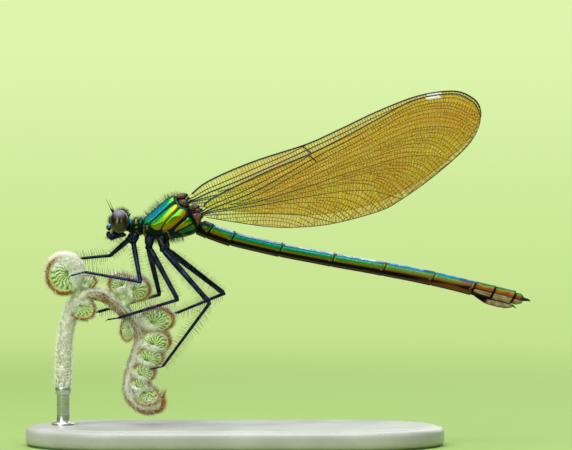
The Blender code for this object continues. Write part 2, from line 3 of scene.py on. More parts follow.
import bpy
import numpy as np
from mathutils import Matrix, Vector


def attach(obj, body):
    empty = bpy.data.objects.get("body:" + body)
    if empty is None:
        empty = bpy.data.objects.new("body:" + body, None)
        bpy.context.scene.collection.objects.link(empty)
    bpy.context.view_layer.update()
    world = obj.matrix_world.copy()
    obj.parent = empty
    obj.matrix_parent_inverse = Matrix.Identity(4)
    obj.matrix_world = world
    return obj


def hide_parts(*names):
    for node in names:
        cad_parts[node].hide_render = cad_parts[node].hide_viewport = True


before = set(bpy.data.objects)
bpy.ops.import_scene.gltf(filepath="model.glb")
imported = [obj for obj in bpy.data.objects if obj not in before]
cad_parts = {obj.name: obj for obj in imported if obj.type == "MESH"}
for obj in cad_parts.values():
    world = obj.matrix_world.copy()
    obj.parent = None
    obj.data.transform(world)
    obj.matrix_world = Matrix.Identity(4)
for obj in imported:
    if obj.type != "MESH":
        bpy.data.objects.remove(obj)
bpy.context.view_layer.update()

# The stage is a pale green sheet under the stand that fades into a pale green room, lit by three
# soft boxes. A long lens looks level along +Y from the insect's left, as in the photograph.
# Every size in this file is in millimetres in the frame of the model, and MM makes it metres.
MM = 0.001
LENS = 200.0
SENSOR = 36.0
VIEW_WIDTH = 62.92
VIEW_CENTRE = (5.61, 24.2)
FLOOR_HALF = 420.0
FLOOR_SOLID, FLOOR_GONE = 70.0, 330.0
SOFT_BOXES = {
    "top_box": ((-30.0, -60.0, 330.0), 330.0, 1.1, (1.0, 0.99, 0.96)),
    "front_box": ((-190.0, -300.0, 190.0), 220.0, 0.5, (1.0, 0.98, 0.95)),
    "back_box": ((150.0, 330.0, 170.0), 300.0, 0.36, (0.95, 1.0, 0.9)),
}
LIGHTS_AIM = (5.0, 0.0, 22.0)


def add_node(tree, kind, inputs=None, **settings):
    """A shader node with its settings, and each named input given a value or a link."""
    made = tree.nodes.new(kind)
    for key, value in settings.items():
        setattr(made, key, value)
    for socket, value in (inputs or {}).items():
        if isinstance(value, bpy.types.NodeSocket):
            tree.links.new(value, made.inputs[socket])
        else:
            made.inputs[socket].default_value = value
    return made


def blend_colours(tree, factor, first, second):
    """The colour between two others at a factor."""
    mix = add_node(tree, "ShaderNodeMix", data_type="RGBA")
    for socket, value in ((mix.inputs[0], factor), (mix.inputs[6], first), (mix.inputs[7], second)):
        if isinstance(value, bpy.types.NodeSocket):
            tree.links.new(value, socket)
        elif isinstance(value, tuple):
            socket.default_value = (*value, 1.0)
        else:
            socket.default_value = value
    return mix.outputs[2]


def eased(tree, value, low, high, start=0.0, end=1.0):
    """A value spread over a range with soft ends."""
    inputs = {"Value": value, 1: low, 2: high, 3: start, 4: end}
    spread = add_node(tree, "ShaderNodeMapRange", inputs, interpolation_type="SMOOTHSTEP")
    return spread.outputs["Result"]


def new_finish(name, **plain):
    """A Principled material with its plain values set on the shader itself."""
    finish = bpy.data.materials.new(name)
    finish.use_nodes = True
    shader = finish.node_tree.nodes["Principled BSDF"]
    for label, value in plain.items():
        shader.inputs[label.replace("_", " ")].default_value = value
    return finish, finish.node_tree, shader


def feed(tree, shader, **sources):
    """Links values to the named inputs of a shader."""
    for label, source in sources.items():
        tree.links.new(source, shader.inputs[label.replace("_", " ")])


def add_object(name, data):
    """A new object in the scene."""
    made = bpy.data.objects.new(name, data)
    bpy.context.scene.collection.objects.link(made)
    return made


def volume_inside(mesh):
    """The volume that a mesh closes in, negative where its faces point inward."""
    points = np.zeros(3 * len(mesh.vertices))
    corners = np.zeros(3 * len(mesh.loop_triangles), int)
    mesh.vertices.foreach_get("co", points)
    mesh.loop_triangles.foreach_get("vertices", corners)
    a, b, c = points.reshape(-1, 3)[corners.reshape(-1, 3)].transpose(1, 0, 2)
    return (a * np.cross(b, c)).sum() / 6


def new_piece(name, points, faces, finish, smooth=True, masks=None):
    """A mesh object from points in millimetres, with a value on each point for each mask."""
    mesh = bpy.data.meshes.new(name)
    mesh.from_pydata(np.asarray(points, float) * MM, [], faces)
    mesh.materials.append(finish)
    mesh.polygons.foreach_set("use_smooth", [smooth] * len(mesh.polygons))
    for label, values in (masks or {}).items():
        layer = mesh.attributes.new(label, "FLOAT", "POINT")
        layer.data.foreach_set("value", np.clip(values, 0.0, 1.0).astype(np.float32).ravel())
    mesh.update()
    mesh.calc_loop_triangles()
    if volume_inside(mesh) < 0:
        mesh.flip_normals()
    return add_object(name, mesh)


floor_finish, tree, shader = new_finish("pale_sheet", Roughness=0.85)
place = add_node(tree, "ShaderNodeTexCoord").outputs["Object"]
reach = add_node(tree, "ShaderNodeVectorMath", {0: place}, operation="LENGTH").outputs["Value"]
shader.inputs["Base Color"].default_value = (0.26, 0.39, 0.1, 1.0)
feed(tree, shader, Alpha=eased(tree, reach, FLOOR_SOLID * MM, FLOOR_GONE * MM, 1.0, 0.0))
corners = [(x, y, 0) for x, y in ((-1, -1), (1, -1), (1, 1), (-1, 1))]
corners = np.array(corners) * FLOOR_HALF
floor = new_piece("floor_sheet", corners, [(0, 1, 2, 3)], floor_finish, False)

room = bpy.data.worlds.new("pale_room")
room.use_nodes = True
tree = room.node_tree
aim = add_node(tree, "ShaderNodeTexCoord").outputs["Generated"]
height = add_node(tree, "ShaderNodeSeparateXYZ", {0: aim}).outputs["Z"]
low_part = blend_colours(tree, eased(tree, height, -0.09, 0.0), (0.5, 0.68, 0.22), (0.6, 0.8, 0.3))
shade = blend_colours(tree, eased(tree, height, -0.02, 0.07), low_part, (0.74, 0.92, 0.42))
sky = blend_colours(tree, eased(tree, height, -0.3, 0.25), (0.07, 0.1, 0.03), (0.2, 0.27, 0.12))
sky = blend_colours(tree, eased(tree, height, 0.2, 0.85), sky, (0.95, 1.0, 1.05))
seen = add_node(tree, "ShaderNodeLightPath").outputs["Is Camera Ray"]
tree.links.new(blend_colours(tree, seen, sky, shade), tree.nodes["Background"].inputs["Color"])
bpy.context.scene.view_settings.view_transform = "Standard"
bpy.context.scene.world = room

for label, (spot, size, watts, tint) in SOFT_BOXES.items():
    light = bpy.data.lights.new(label, "AREA")
    light.shape = "DISK"
    light.size = size * MM
    light.energy = watts
    light.color = tint
    lamp = add_object(label, light)
    lamp.location = Vector(spot) * MM
    aim = Vector(LIGHTS_AIM) - Vector(spot)
    lamp.rotation_euler = aim.to_track_quat("-Z", "Y").to_euler()

lens = bpy.data.cameras.new("camera")
lens.lens = LENS
lens.sensor_width = SENSOR
lens.clip_start, lens.clip_end = 0.01, 10.0
camera = add_object("camera", lens)
view_distance = VIEW_WIDTH * LENS / SENSOR
camera.location = Vector((VIEW_CENTRE[0], -view_distance, VIEW_CENTRE[1])) * MM
camera.rotation_euler = (math.pi / 2, 0.0, 0.0)
bpy.context.scene.camera = camera

# The base is a low oval of cast resin with a rounded edge, rubbed to a satin pale grey. It stands
# on a thin inset foot line and has a small step round its top edge.
BASE_LENGTH, BASE_DEPTH = 46.0, 22.0
BASE_END_STEPS = 40

# The edge from its foot up: height, and how far it lies inside the outline.
BASE_EDGE = [
    (0.0, 0.75), (0.0, 0.45), (0.18, 0.32), (0.26, 0.12), (0.45, 0.02), (0.8, 0.0), (1.3, 0.0),
    (1.62, 0.03), (1.84, 0.14), (1.98, 0.3), (2.02, 0.44), (2.03, 0.75), (2.08, 0.86),
    (2.17, 0.95), (2.2, 1.1), (2.2, 2.2),
]


def loft_faces(rows, sides, closed_round=True, flip=False):
    """Faces of a grid of rows, round each row or open along it."""
    count = sides if closed_round else sides - 1
    row, side = np.meshgrid(np.arange(rows - 1), np.arange(count), indexing="ij")
    here, beside_it = row * sides + side, row * sides + (side + 1) % sides
    quads = np.stack([here, beside_it, beside_it + sides, here + sides], -1).reshape(-1, 4)
    return quads[:, ::-1] if flip else quads


def closed_loft(rings, flip=False):
    """Points and faces of a tube through rings of points, with a fan over each end."""
    rings = np.asarray(rings, float)
    rows, sides = rings.shape[:2]
    points = np.concatenate([rings.reshape(-1, 3), rings[0].mean(0)[None], rings[-1].mean(0)[None]])
    faces = loft_faces(rows, sides, flip=flip).tolist()
    first, last = rows * sides, rows * sides + 1
    for k in range(sides):
        j = (k + 1) % sides
        near = [first, j, k]
        far = [last, (rows - 1) * sides + k, (rows - 1) * sides + j]
        faces += [near[::-1], far[::-1]] if flip else [near, far]
    return points, faces


def noise(tree, scale, detail, place=None):
    """Cloudy noise over a piece, finer at a larger scale."""
    if place is None:
        place = add_node(tree, "ShaderNodeTexCoord").outputs["Object"]
    inputs = {"Vector": place, "Scale": scale, "Detail": detail}
    return add_node(tree, "ShaderNodeTexNoise", inputs).outputs["Fac"]


def roughen(tree, shader, height, strength, distance):
    """Fine bumps on a finish."""
    inputs = {"Height": height, "Strength": strength, "Distance": distance * MM}
    feed(tree, shader, Normal=add_node(tree, "ShaderNodeBump", inputs).outputs["Normal"])


base_finish, tree, shader = new_finish(
    "satin_resin", Roughness=0.42, Coat_Weight=0.25, Coat_Roughness=0.3
)
cloud, speck = noise(tree, 180.0, 4.0), noise(tree, 5200.0, 2.0)
tone = blend_colours(tree, eased(tree, cloud, 0.35, 0.7), (0.4, 0.4, 0.385), (0.47, 0.47, 0.455))
tone = blend_colours(tree, eased(tree, speck, 0.6, 0.72, 0.0, 0.5), tone, (0.28, 0.28, 0.265))
feed(tree, shader, Base_Color=tone, Roughness=eased(tree, cloud, 0.3, 0.75, 0.36, 0.5))
roughen(tree, shader, speck, 0.12, 0.02)

end_radius = BASE_DEPTH / 2
straight = BASE_LENGTH / 2 - end_radius
rings = []
for lift, inset in BASE_EDGE:
    ring = []
    for side in (1, -1):
        for turn in np.linspace(-math.pi / 2, math.pi / 2, BASE_END_STEPS):
            out = end_radius - inset
            x, y = straight + out * math.cos(turn), out * math.sin(turn)
            ring.append((side * x, side * y, lift))
    rings.append(ring)
base = new_piece("stand_base_resin", *closed_loft(rings), base_finish)
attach(base, "root")
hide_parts("stand_base")

# The rod is turned from brushed stainless steel. A low collar seats it in the base, and a thin
# sleeve at its top takes the cut end of the fern stalk.
ROD_X = -18.9
ROD_SIDES = 64
ROD_PROFILE = [
    (2.0, 1.25), (2.32, 1.25), (2.45, 1.2), (2.52, 1.05), (2.56, 0.74), (2.62, 0.7), (3.4, 0.7),
    (4.2, 0.7), (5.0, 0.7), (5.55, 0.7), (5.6, 0.8), (5.68, 0.86), (6.3, 0.86), (6.36, 0.83),
    (6.36, 0.6),
]

steel_finish, tree, shader = new_finish("brushed_steel", Metallic=1.0, Roughness=0.28)
place = add_node(tree, "ShaderNodeTexCoord").outputs["Object"]
drawn = add_node(tree, "ShaderNodeMapping", {"Vector": place, "Scale": (300.0, 300.0, 9000.0)})
lines = noise(tree, 1.0, 3.0, drawn.outputs[0])
tone = blend_colours(tree, lines, (0.46, 0.46, 0.47), (0.72, 0.72, 0.73))
feed(tree, shader, Base_Color=tone, Roughness=eased(tree, lines, 0.3, 0.7, 0.2, 0.38))
roughen(tree, shader, lines, 0.15, 0.01)


def round_turn(sides):
    """The angles of the points of a closed ring."""
    return np.linspace(0, 2 * math.pi, sides, endpoint=False)


turn = round_turn(ROD_SIDES)
rings = [
    np.stack([ROD_X + radius * np.cos(turn), radius * np.sin(turn), np.full(ROD_SIDES, z)], -1)
    for z, radius in ROD_PROFILE
]
rod = new_piece("stand_rod_steel", *closed_loft(rings), steel_finish)
rod.data.set_sharp_from_angle(angle=math.radians(50))
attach(rod, "root")
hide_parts("stand_rod")

# The perch is a cut length of young fern: a green stalk, ridged and still soft, that arches over
# and hangs in a loose curl. Its route, radii and leaflet places are the solids' own. The cut end
# at the bottom stands in the sleeve of the rod.
STALK_ROUTE = [
    (-18.9, 6.35), (-18.8, 10.0), (-18.5, 12.8), (-17.9, 14.9), (-16.8, 16.2), (-15.2, 16.6),
    (-13.4, 15.8), (-11.7, 14.1), (-10.5, 12.1), (-10.7, 10.1), (-11.5, 7.4), (-11.4, 5.4),
    (-10.1, 4.2), (-8.6, 4.3), (-8.3, 5.5),
]
STALK_RADIUS, STALK_TIP_RADIUS = 0.74, 0.5
STALK_SIDES, STALK_RIDGES = 112, 9
RIDGE_SHARE = 0.06


def along_run(distance, run, line):
    """Values of a line at some distances along it."""
    return np.stack([np.interp(distance, run, line[:, k]) for k in range(line.shape[1])], -1)


def run_of(line):
    """How far along a line each of its points lies."""
    return np.concatenate([[0], np.cumsum(np.linalg.norm(np.diff(line, axis=0), axis=1))])


def curve_through(points, count):
    """Points on a Catmull-Rom curve through the given ones, evenly stepped along it."""
    points = np.asarray(points, float)
    ends = np.concatenate([[2 * points[0] - points[1]], points, [2 * points[-1] - points[-2]]])
    place = np.linspace(0, len(points) - 1, count * 4)
    i = np.minimum(place.astype(int), len(points) - 2)
    t = (place - i)[:, None]
    a, b, c, d = ends[i], ends[i + 1], ends[i + 2], ends[i + 3]
    cubic = (2 * a - 5 * b + 4 * c - d) * t**2 + (3 * b - a - 3 * c + d) * t**3
    line = 0.5 * (2 * b + (c - a) * t + cubic)
    run = run_of(line)
    return along_run(np.linspace(0, run[-1], count), run, line)


def unit(vectors):
    """Vectors of length one."""
    return vectors / np.maximum(np.linalg.norm(vectors, axis=-1, keepdims=True), 1e-9)


def tube(path, radii, sides, depth=None, across=(0.0, 1.0, 0.0)):
    """Rings round a path, in frames carried along it without twist. Radii may differ by side."""
    path = np.asarray(path, float)
    along = unit(np.gradient(path, axis=0))
    radii = np.broadcast_to(np.asarray(radii, float).reshape(len(path), -1), (len(path), sides))
    if depth is None:
        depth = radii
    depth = np.broadcast_to(np.reshape(depth, (len(path), -1)), radii.shape)
    turn = round_turn(sides)
    across = np.asarray(across, float)
    rings = []
    for centre, ahead, wide, tall in zip(path, along, depth, radii):
        across = unit(across - ahead * across.dot(ahead))
        upward = np.cross(across, ahead)
        ring = np.outer(wide * np.cos(turn), across) + np.outer(tall * np.sin(turn), upward)
        rings.append(centre + ring)
    return np.array(rings)


def ripple(values, seed, scale):
    """A smooth wandering number between -1 and 1 along some values."""
    rng = np.random.default_rng(seed)
    total = np.zeros_like(np.asarray(values, float))
    for octave in range(1, 4):
        phase, pitch = rng.uniform(0, 2 * math.pi), rng.uniform(0.8, 1.25)
        total = total + np.sin(np.asarray(values) * scale * octave * pitch + phase) / octave
    return total / 1.8


def soft_step(values, low, high):
    """Zero at the low value and past it, one at the high one, which may be the smaller number."""
    t = np.clip((np.asarray(values, float) - low) / (high - low), 0, 1)
    return t * t * (3 - 2 * t)


def near_to(values, middle, width):
    """One at the middle and nothing a few widths away."""
    return np.exp(-(((np.asarray(values, float) - middle) / width) ** 2))


def mask_value(tree, label):
    """A mask of the mesh, read at each point."""
    return add_node(tree, "ShaderNodeAttribute", attribute_name=label).outputs["Fac"]


def reckon(tree, operation, *values, clamp=False):
    """A sum worked out from two or three values."""
    inputs = dict(enumerate(values))
    return add_node(
        tree, "ShaderNodeMath", inputs, operation=operation, use_clamp=clamp
    ).outputs[0]


def downy_green(name, groove, crest):
    """Soft fern skin: green in the grooves, white where it is woolly, rusty along the rims."""
    finish, tree, shader = new_finish(name, Roughness=0.8, Sheen_Weight=0.3, Sheen_Roughness=0.5)
    patch, fibre = noise(tree, 1700.0, 3.0), noise(tree, 9000.0, 2.0)
    tone = blend_colours(tree, eased(tree, mask_value(tree, "rib"), 0.2, 0.9), groove, crest)
    tone = blend_colours(tree, eased(tree, patch, 0.45, 0.7, 0.0, 0.4), tone, (0.55, 0.72, 0.2))
    fleece = reckon(tree, "ADD", mask_value(tree, "wool"), patch)
    tone = blend_colours(tree, eased(tree, fleece, 0.62, 1.05), tone, (0.93, 0.95, 0.86))
    stain = reckon(tree, "ADD", mask_value(tree, "rust"), fibre)
    tone = blend_colours(tree, eased(tree, stain, 0.62, 1.15), tone, (0.6, 0.3, 0.05))
    feed(tree, shader, Base_Color=tone)
    roughen(tree, shader, fibre, 0.5, 0.04)
    return finish


# Rusty hair grows along the stalk in thin lines: over the arch they spread across its faces, and
# along the hanging part they run together into one band on its outer edge.
RUST_LINES = (0.15, 0.55, 0.95, 1.35, 1.8)

route = curve_through([(x, 0.0, z) for x, z in STALK_ROUTE], 460)
share = np.linspace(0, 1, len(route))
turn = round_turn(STALK_SIDES)
swell = STALK_RADIUS + (STALK_TIP_RADIUS - STALK_RADIUS) * share
swell = swell * (1 + 0.035 * ripple(share, 3, 60.0)) * np.where(share > 0.985, 0.9, 1.0)
arch = soft_step(share, 0.29, 0.38) * soft_step(share, 0.68, 0.58)
hanging, curl = soft_step(share, 0.56, 0.66), soft_step(share, 0.8, 0.92)
spread = 0.12 + 0.88 * arch
stalk_rust = 0.8 * near_to(turn[None], math.pi / 2, (0.3 + 0.9 * curl)[:, None])
stalk_rust = stalk_rust * (0.25 + 0.75 * hanging)[:, None]
for number, gap in enumerate(RUST_LINES):
    for way in (-1, 1):
        wander = 0.12 * ripple(share, 50 + 2 * number + way, 40.0)
        line = math.pi / 2 + way * spread * (gap + wander)
        off = np.abs((turn[None] - line[:, None] + math.pi) % (2 * math.pi) - math.pi)
        strength = 0.75 + 0.25 * ripple(share, 30 + number, 70.0)
        strength = strength * (0.3 + 0.7 * np.maximum(arch, hanging))
        stalk_rust = np.maximum(stalk_rust, strength[:, None] * near_to(off, 0.0, 0.1))
ridges = np.abs(np.cos(turn[None] * STALK_RIDGES / 2 + 1.2 * share[:, None])) ** 1.5
stalk_wool = 0.5 + 0.2 * ripple(share, 5, 50.0)[:, None]
stalk_wool = stalk_wool + 0.25 * near_to(turn, 1.5 * math.pi, 1.2)[None]
worn = 0.3 * (arch + curl)[:, None] * near_to(turn, math.pi / 2, 1.9)[None]
stalk_wool = np.clip(stalk_wool - worn, 0, 1)
relief = 1 - RIDGE_SHARE * ridges + 0.03 * stalk_rust
stalk_rings = tube(route, swell[:, None] * relief, STALK_SIDES)
stalk_finish = downy_green("stalk_skin", (0.42, 0.58, 0.14), (0.7, 0.8, 0.38))
points, faces = closed_loft(stalk_rings)
masks = {
    "rib": np.concatenate([(1 - ridges).ravel(), [0.6, 0.6]]),
    "rust": np.concatenate([stalk_rust.ravel(), [0.1, 0.5]]),
    "wool": np.concatenate([stalk_wool.ravel(), [0.1, 0.1]]),
}
stalk = new_piece("fern_stalk", points, faces, stalk_finish, masks=masks)
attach(stalk, "root")
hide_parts("perch_stalk", "perch_curl")

# The leaflets are still rolled up tight, like small shells set one over the next along the stalk.
# Green grooves fan out between downy ribs inside a thick rim that rusty hair edges.

# Each row is a centre in X and Z, half length, half height, half depth, the way its fan opens in
# degrees, how far its middle sits back from there and how woolly its top is.
LEAFLETS = [
    (-18.75, 18.75, 2.15, 2.3, 1.1, 200, 0.25, 1.0),
    (-16.7, 14.85, 1.45, 1.15, 0.85, -70, 0.5, 0.0),
    (-16.15, 18.05, 1.05, 0.75, 0.6, 35, 0.6, 0.7),
    (-12.6, 17.8, 1.4, 1.15, 0.85, 120, 0.3, 0.9),
    (-10.6, 17.15, 1.45, 1.35, 0.95, 0, 0.45, 0.7),
    (-11.85, 12.65, 0.8, 1.3, 0.65, 215, 0.45, 0.3),
    (-8.5, 13.85, 2.0, 1.45, 1.1, 42, 0.45, 0.35),
    (-8.7, 11.5, 1.8, 1.35, 1.1, 60, 0.4, 0.3),
    (-9.3, 9.75, 1.6, 1.15, 1.0, 55, 0.5, 0.15),
    (-9.95, 8.1, 1.35, 1.1, 0.95, 50, 0.5, 0.15),
    (-10.4, 6.75, 1.15, 0.9, 0.85, 55, 0.5, 0.1),
    (-9.6, 5.35, 1.5, 1.2, 0.75, -55, 0.55, 0.0),
]
SHELL_LEVELS, SHELL_SIDES = 40, 144
RIBS = 20
RIM_PLACE, CREASE_PLACE, FAN_REACH = 0.87, 0.74, 1.55
STEM_SHARE, STEM_LARGEST = 0.4, 0.5


def rolled_leaflet(shape, seed):
    """The shell of one leaflet: its rings from the front middle to the back, with three masks."""
    x, z, length, height, depth, lean, shift, woolly = shape
    lean = math.radians(lean)
    turn = round_turn(SHELL_SIDES)
    facing = -shift * np.cos(turn - lean)
    reach = np.sqrt(facing**2 + 1 - shift**2) - facing
    off = np.abs((turn - lean + math.pi) % (2 * math.pi) - math.pi)
    fan = soft_step(off, FAN_REACH + 0.3, FAN_REACH - 0.3)[None]
    s = np.sin(np.linspace(0.04, math.pi / 2, SHELL_LEVELS))[:, None]
    flat_x = -shift * math.cos(lean) + s * reach * np.cos(turn)
    flat_z = -shift * math.sin(lean) + s * reach * np.sin(turn)
    halves, ribs, rims, fleeces = [], [], [], []
    for way in (-1, 1):
        bent = turn[None] + 0.3 * way * s + 0.12 * ripple(s * 4, seed + way, 3.0)
        bent = bent + 0.1 * ripple(turn, seed, 2.0)[None]
        rib = np.abs(np.sin(bent * RIBS / 2)) ** 1.3
        window = soft_step(s, 0.12, 0.3)
        window = window * soft_step(s, CREASE_PLACE + 0.04, CREASE_PLACE - 0.06)
        rim = fan * near_to(s, RIM_PLACE, 0.075)
        hollow = 0.16 * fan * near_to(s, CREASE_PLACE, 0.05) + 0.15 * fan * (1 - rib) * window
        profile = np.sqrt(1 - s**6) * (0.8 + 0.2 * (1 - s**2))
        profile = profile * (1 + 0.2 * rim - hollow - 0.3 * near_to(s, 0, 0.17))
        half = [x + length * flat_x, way * depth * profile, z + height * flat_z]
        halves.append(np.stack(half, -1))
        in_fan = fan * window
        ribs.append((1 - in_fan) * (0.7 - 0.5 * near_to(s, 0, 0.2)) + in_fan * rib)
        rims.append(rim * (0.85 + 0.15 * ripple(turn, seed, 3.0)[None]))
        top = soft_step(flat_z, 0.0, 0.9)
        fleece = 0.6 * (1 - fan) + woolly * top * (1 - 0.5 * rim) + 0.2 * rib
        fleeces.append(np.clip(fleece, 0, 1))
    return [np.concatenate([half[0], half[1][-2::-1]]) for half in (halves, ribs, rims, fleeces)]


def joined(shapes):
    """One set of points and faces from several."""
    points, faces, start = [], [], 0
    for shape_points, shape_faces in shapes:
        points.append(np.asarray(shape_points, float).reshape(-1, 3))
        faces += [[corner + start for corner in face] for face in shape_faces]
        start += len(points[-1])
    return np.concatenate(points), faces


leaflet_finish = downy_green("leaflet_skin", (0.06, 0.22, 0.004), (0.66, 0.84, 0.26))
leaflet_rolls = []
for number, shape in enumerate(LEAFLETS, 1):
    rings, *roll_masks = rolled_leaflet(shape, number)
    leaflet_rolls.append((rings, *roll_masks))
    middle = np.array([shape[0], 0.0, shape[1]])
    nearest = route[np.argmin(np.linalg.norm(route - middle, axis=1))]
    thick = min(STEM_LARGEST, STEM_SHARE * min(shape[2], shape[3]))
    stem = closed_loft(tube(np.linspace(nearest, middle, 20), np.full(20, thick), 32))
    masks = {}
    for label, values, on_stem in zip(("rib", "rust", "wool"), roll_masks, (0.6, 0.1, 0.3)):
        on_stem = np.full(len(stem[0]), on_stem)
        masks[label] = np.concatenate([values.ravel(), [0.0, 0.0], on_stem])
    points, faces = joined([closed_loft(rings), stem])
    roll = new_piece(f"fern_leaflet_{number}", points, faces, leaflet_finish, masks=masks)
    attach(roll, "root")

# White wool covers the young fern, thick on the ribs, on the tops of the rolls and along the
# stalk, and rusty bristles lie along the stalk's lines and stand on the rims of the rolls. Each
# hair is a thin tapered spike of its own, rooted in the skin, in meshes of some thousands.
HAIR_STEPS = (0.0, 0.5)
HAIR_LENGTH, HAIR_WIDTH = (0.35, 0.85), 0.022
STALK_DOWN, STALK_RUST = 9000, 3600
ROLL_DOWN, ROLL_RUST = 17000, 5500
ALL_ROLLS = 24.0


def roots_on(rings, count, rng, weight, tile=(0.0, 0.0, 1.0, 1.0), is_ball=False):
    """Random places on a surface of rings, more where it is large or its weight is high."""
    rows, sides = rings.shape[:2]
    wrapped = np.concatenate([rings, rings[:, :1]], 1)
    a, b, c, d = wrapped[:-1, :-1], wrapped[1:, :-1], wrapped[1:, 1:], wrapped[:-1, 1:]
    normal = np.cross(c - a, d - b)
    area = np.linalg.norm(normal, axis=-1) * weight[:-1]
    picked = rng.choice(area.size, count, p=area.ravel() / area.sum())
    row, side = np.unravel_index(picked, area.shape)
    s, t = rng.random((2, count, 1))
    flat = (1 - s) * (1 - t) * a[row, side] + s * (1 - t) * b[row, side]
    place = flat + s * t * c[row, side] + (1 - s) * t * d[row, side]
    out = unit(normal[row, side])
    centre = rings.mean((0, 1)) if is_ball else rings.mean(1)[row]
    out = np.where(((place - centre) * out).sum(-1, keepdims=True) < 0, -out, out)
    along = unit(b[row, side] - a[row, side])
    u0, v0, u1, v1 = tile
    u = u0 + (u1 - u0) * (row + s[:, 0]) / rows
    v = v0 + (v1 - v0) * (side + t[:, 0]) / sides
    return place, out, along, np.stack([u, v], -1)


def add_bake_map(piece, spots):
    """The map for baking, from a flat place for each point."""
    layer = piece.data.uv_layers.new(name="OFBake")
    order = np.zeros(len(piece.data.loops), int)
    piece.data.loops.foreach_get("vertex_index", order)
    layer.data.foreach_set("uv", spots[order].astype(np.float32).ravel())


def spikes(name, roots, lean, bend, lengths, width, finish, patches):
    """Many three-sided tapered hairs in one mesh, each with its own small patch for baking."""
    count, rings = len(roots), len(HAIR_STEPS)
    lengths = np.broadcast_to(lengths, count)[:, None]
    side = unit(np.cross(lean, bend + np.array([0.013, 0.021, 0.017])))
    upward = np.cross(side, lean)
    turn = (np.arange(3) * 2 * math.pi / 3)[None, :, None]
    levels = []
    for s in HAIR_STEPS:
        centre = roots - lean * 0.03 + lean * lengths * s + bend * lengths * s**2
        ring = np.cos(turn) * side[:, None] + np.sin(turn) * upward[:, None]
        levels.append(centre[:, None] + width * (1 - 0.75 * s) * ring)
    tip = roots + lean * lengths + bend * lengths
    points = np.concatenate([*levels, tip[:, None]], 1)
    per = points.shape[1]
    template = [(2, 1, 0)]
    for r in range(rings - 1):
        for k in range(3):
            a, b = 3 * r + k, 3 * r + (k + 1) % 3
            template += [(a, b, b + 3), (a, b + 3, a + 3)]
    last = 3 * (rings - 1)
    template += [(last + k, last + (k + 1) % 3, per - 1) for k in range(3)]
    faces = (np.array(template)[None] + per * np.arange(count)[:, None, None]).reshape(-1, 3)
    rng = np.random.default_rng(count)
    tone = np.repeat(rng.random(count), per)
    piece = new_piece(name, points.reshape(-1, 3), faces, finish, masks={"tone": tone})
    corner = np.tile(np.linspace(0, 0.003, per)[:, None] * np.array([1.0, 0.6]), (count, 1))
    spots = np.repeat(patches, per, 0) * 0.995 + corner
    add_bake_map(piece, spots)
    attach(piece, "root")
    return piece


def hair_finish(name, dark, light, roughness=0.6):
    """Thin hair whose tone differs a little from one hair to the next."""
    finish, tree, shader = new_finish(name, Roughness=roughness)
    feed(tree, shader, Base_Color=blend_colours(tree, mask_value(tree, "tone"), dark, light))
    return finish


def scattered(out, along, rng, stand, wander):
    """Hair directions that lie over along the skin and stand off it by the given share."""
    turn = rng.uniform(-wander, wander, len(out))[:, None]
    lying = along * np.cos(turn) + np.cross(out, along) * np.sin(turn)
    lift = stand * rng.uniform(0.5, 1.5, (len(out), 1))
    return unit(lying + out * lift)


rng = np.random.default_rng(41)
white_down = hair_finish("white_down", (0.86, 0.92, 0.72), (1.0, 1.0, 0.97))
rust_down = hair_finish("rust_down", (0.3, 0.09, 0.012), (0.72, 0.36, 0.08))
weight = 0.15 + stalk_wool - 0.4 * stalk_rust.clip(0, 0.3)
stalk_sets = [roots_on(stalk_rings, STALK_DOWN, rng, weight)]
weight = 0.01 + stalk_rust**3
edge_sets = [roots_on(stalk_rings, STALK_RUST, rng, weight, (0.0, 0.0, 1.0, 0.5))]
roll_sets, rim_sets = [], []
for number, (rings, rib_mask, rust_mask, wool_mask) in enumerate(leaflet_rolls):
    column, line = number % 4, number // 4
    tile = (column / 4 + 0.001, line / 3, (column + 0.95) / 4, (line + 0.95) / 3)
    high_tile = (tile[0], 0.5 + 0.5 * tile[1], tile[2], 0.5 + 0.5 * tile[3])
    share_of_skin = LEAFLETS[number][2] * LEAFLETS[number][3] / ALL_ROLLS
    weight = 0.03 + 0.15 * rib_mask**3 + 1.2 * wool_mask**2
    for sets, count, likely, place in (
        (roll_sets, ROLL_DOWN, weight, tile),
        (rim_sets, ROLL_RUST, 0.003 + rust_mask**3, high_tile),
    ):
        count = int(count * share_of_skin)
        sets.append(roots_on(rings, count, rng, likely, place, is_ball=True))
for name, sets, stand, wander, finish, longer in (
    ("down_on_stalk", stalk_sets, 0.45, 1.2, white_down, 1.0),
    ("down_on_rolls", roll_sets, 0.4, 1.2, white_down, 1.0),
    ("rust_on_stalk", edge_sets, 0.16, 0.3, rust_down, 1.4),
    ("rust_on_rims", rim_sets, 0.5, 3.1, rust_down, 0.7),
):
    roots, out, along, patches = (np.concatenate(column) for column in zip(*sets))
    lean = scattered(out, along, rng, stand, wander)
    bend = unit(np.cross(lean, out) + 0.5 * rng.normal(size=out.shape))
    bend = bend * rng.uniform(0.05, 0.35, (len(out), 1))
    lengths = rng.uniform(*HAIR_LENGTH, len(out)) * longer
    down = spikes(name, roots, lean, bend, lengths, HAIR_WIDTH, finish, patches)

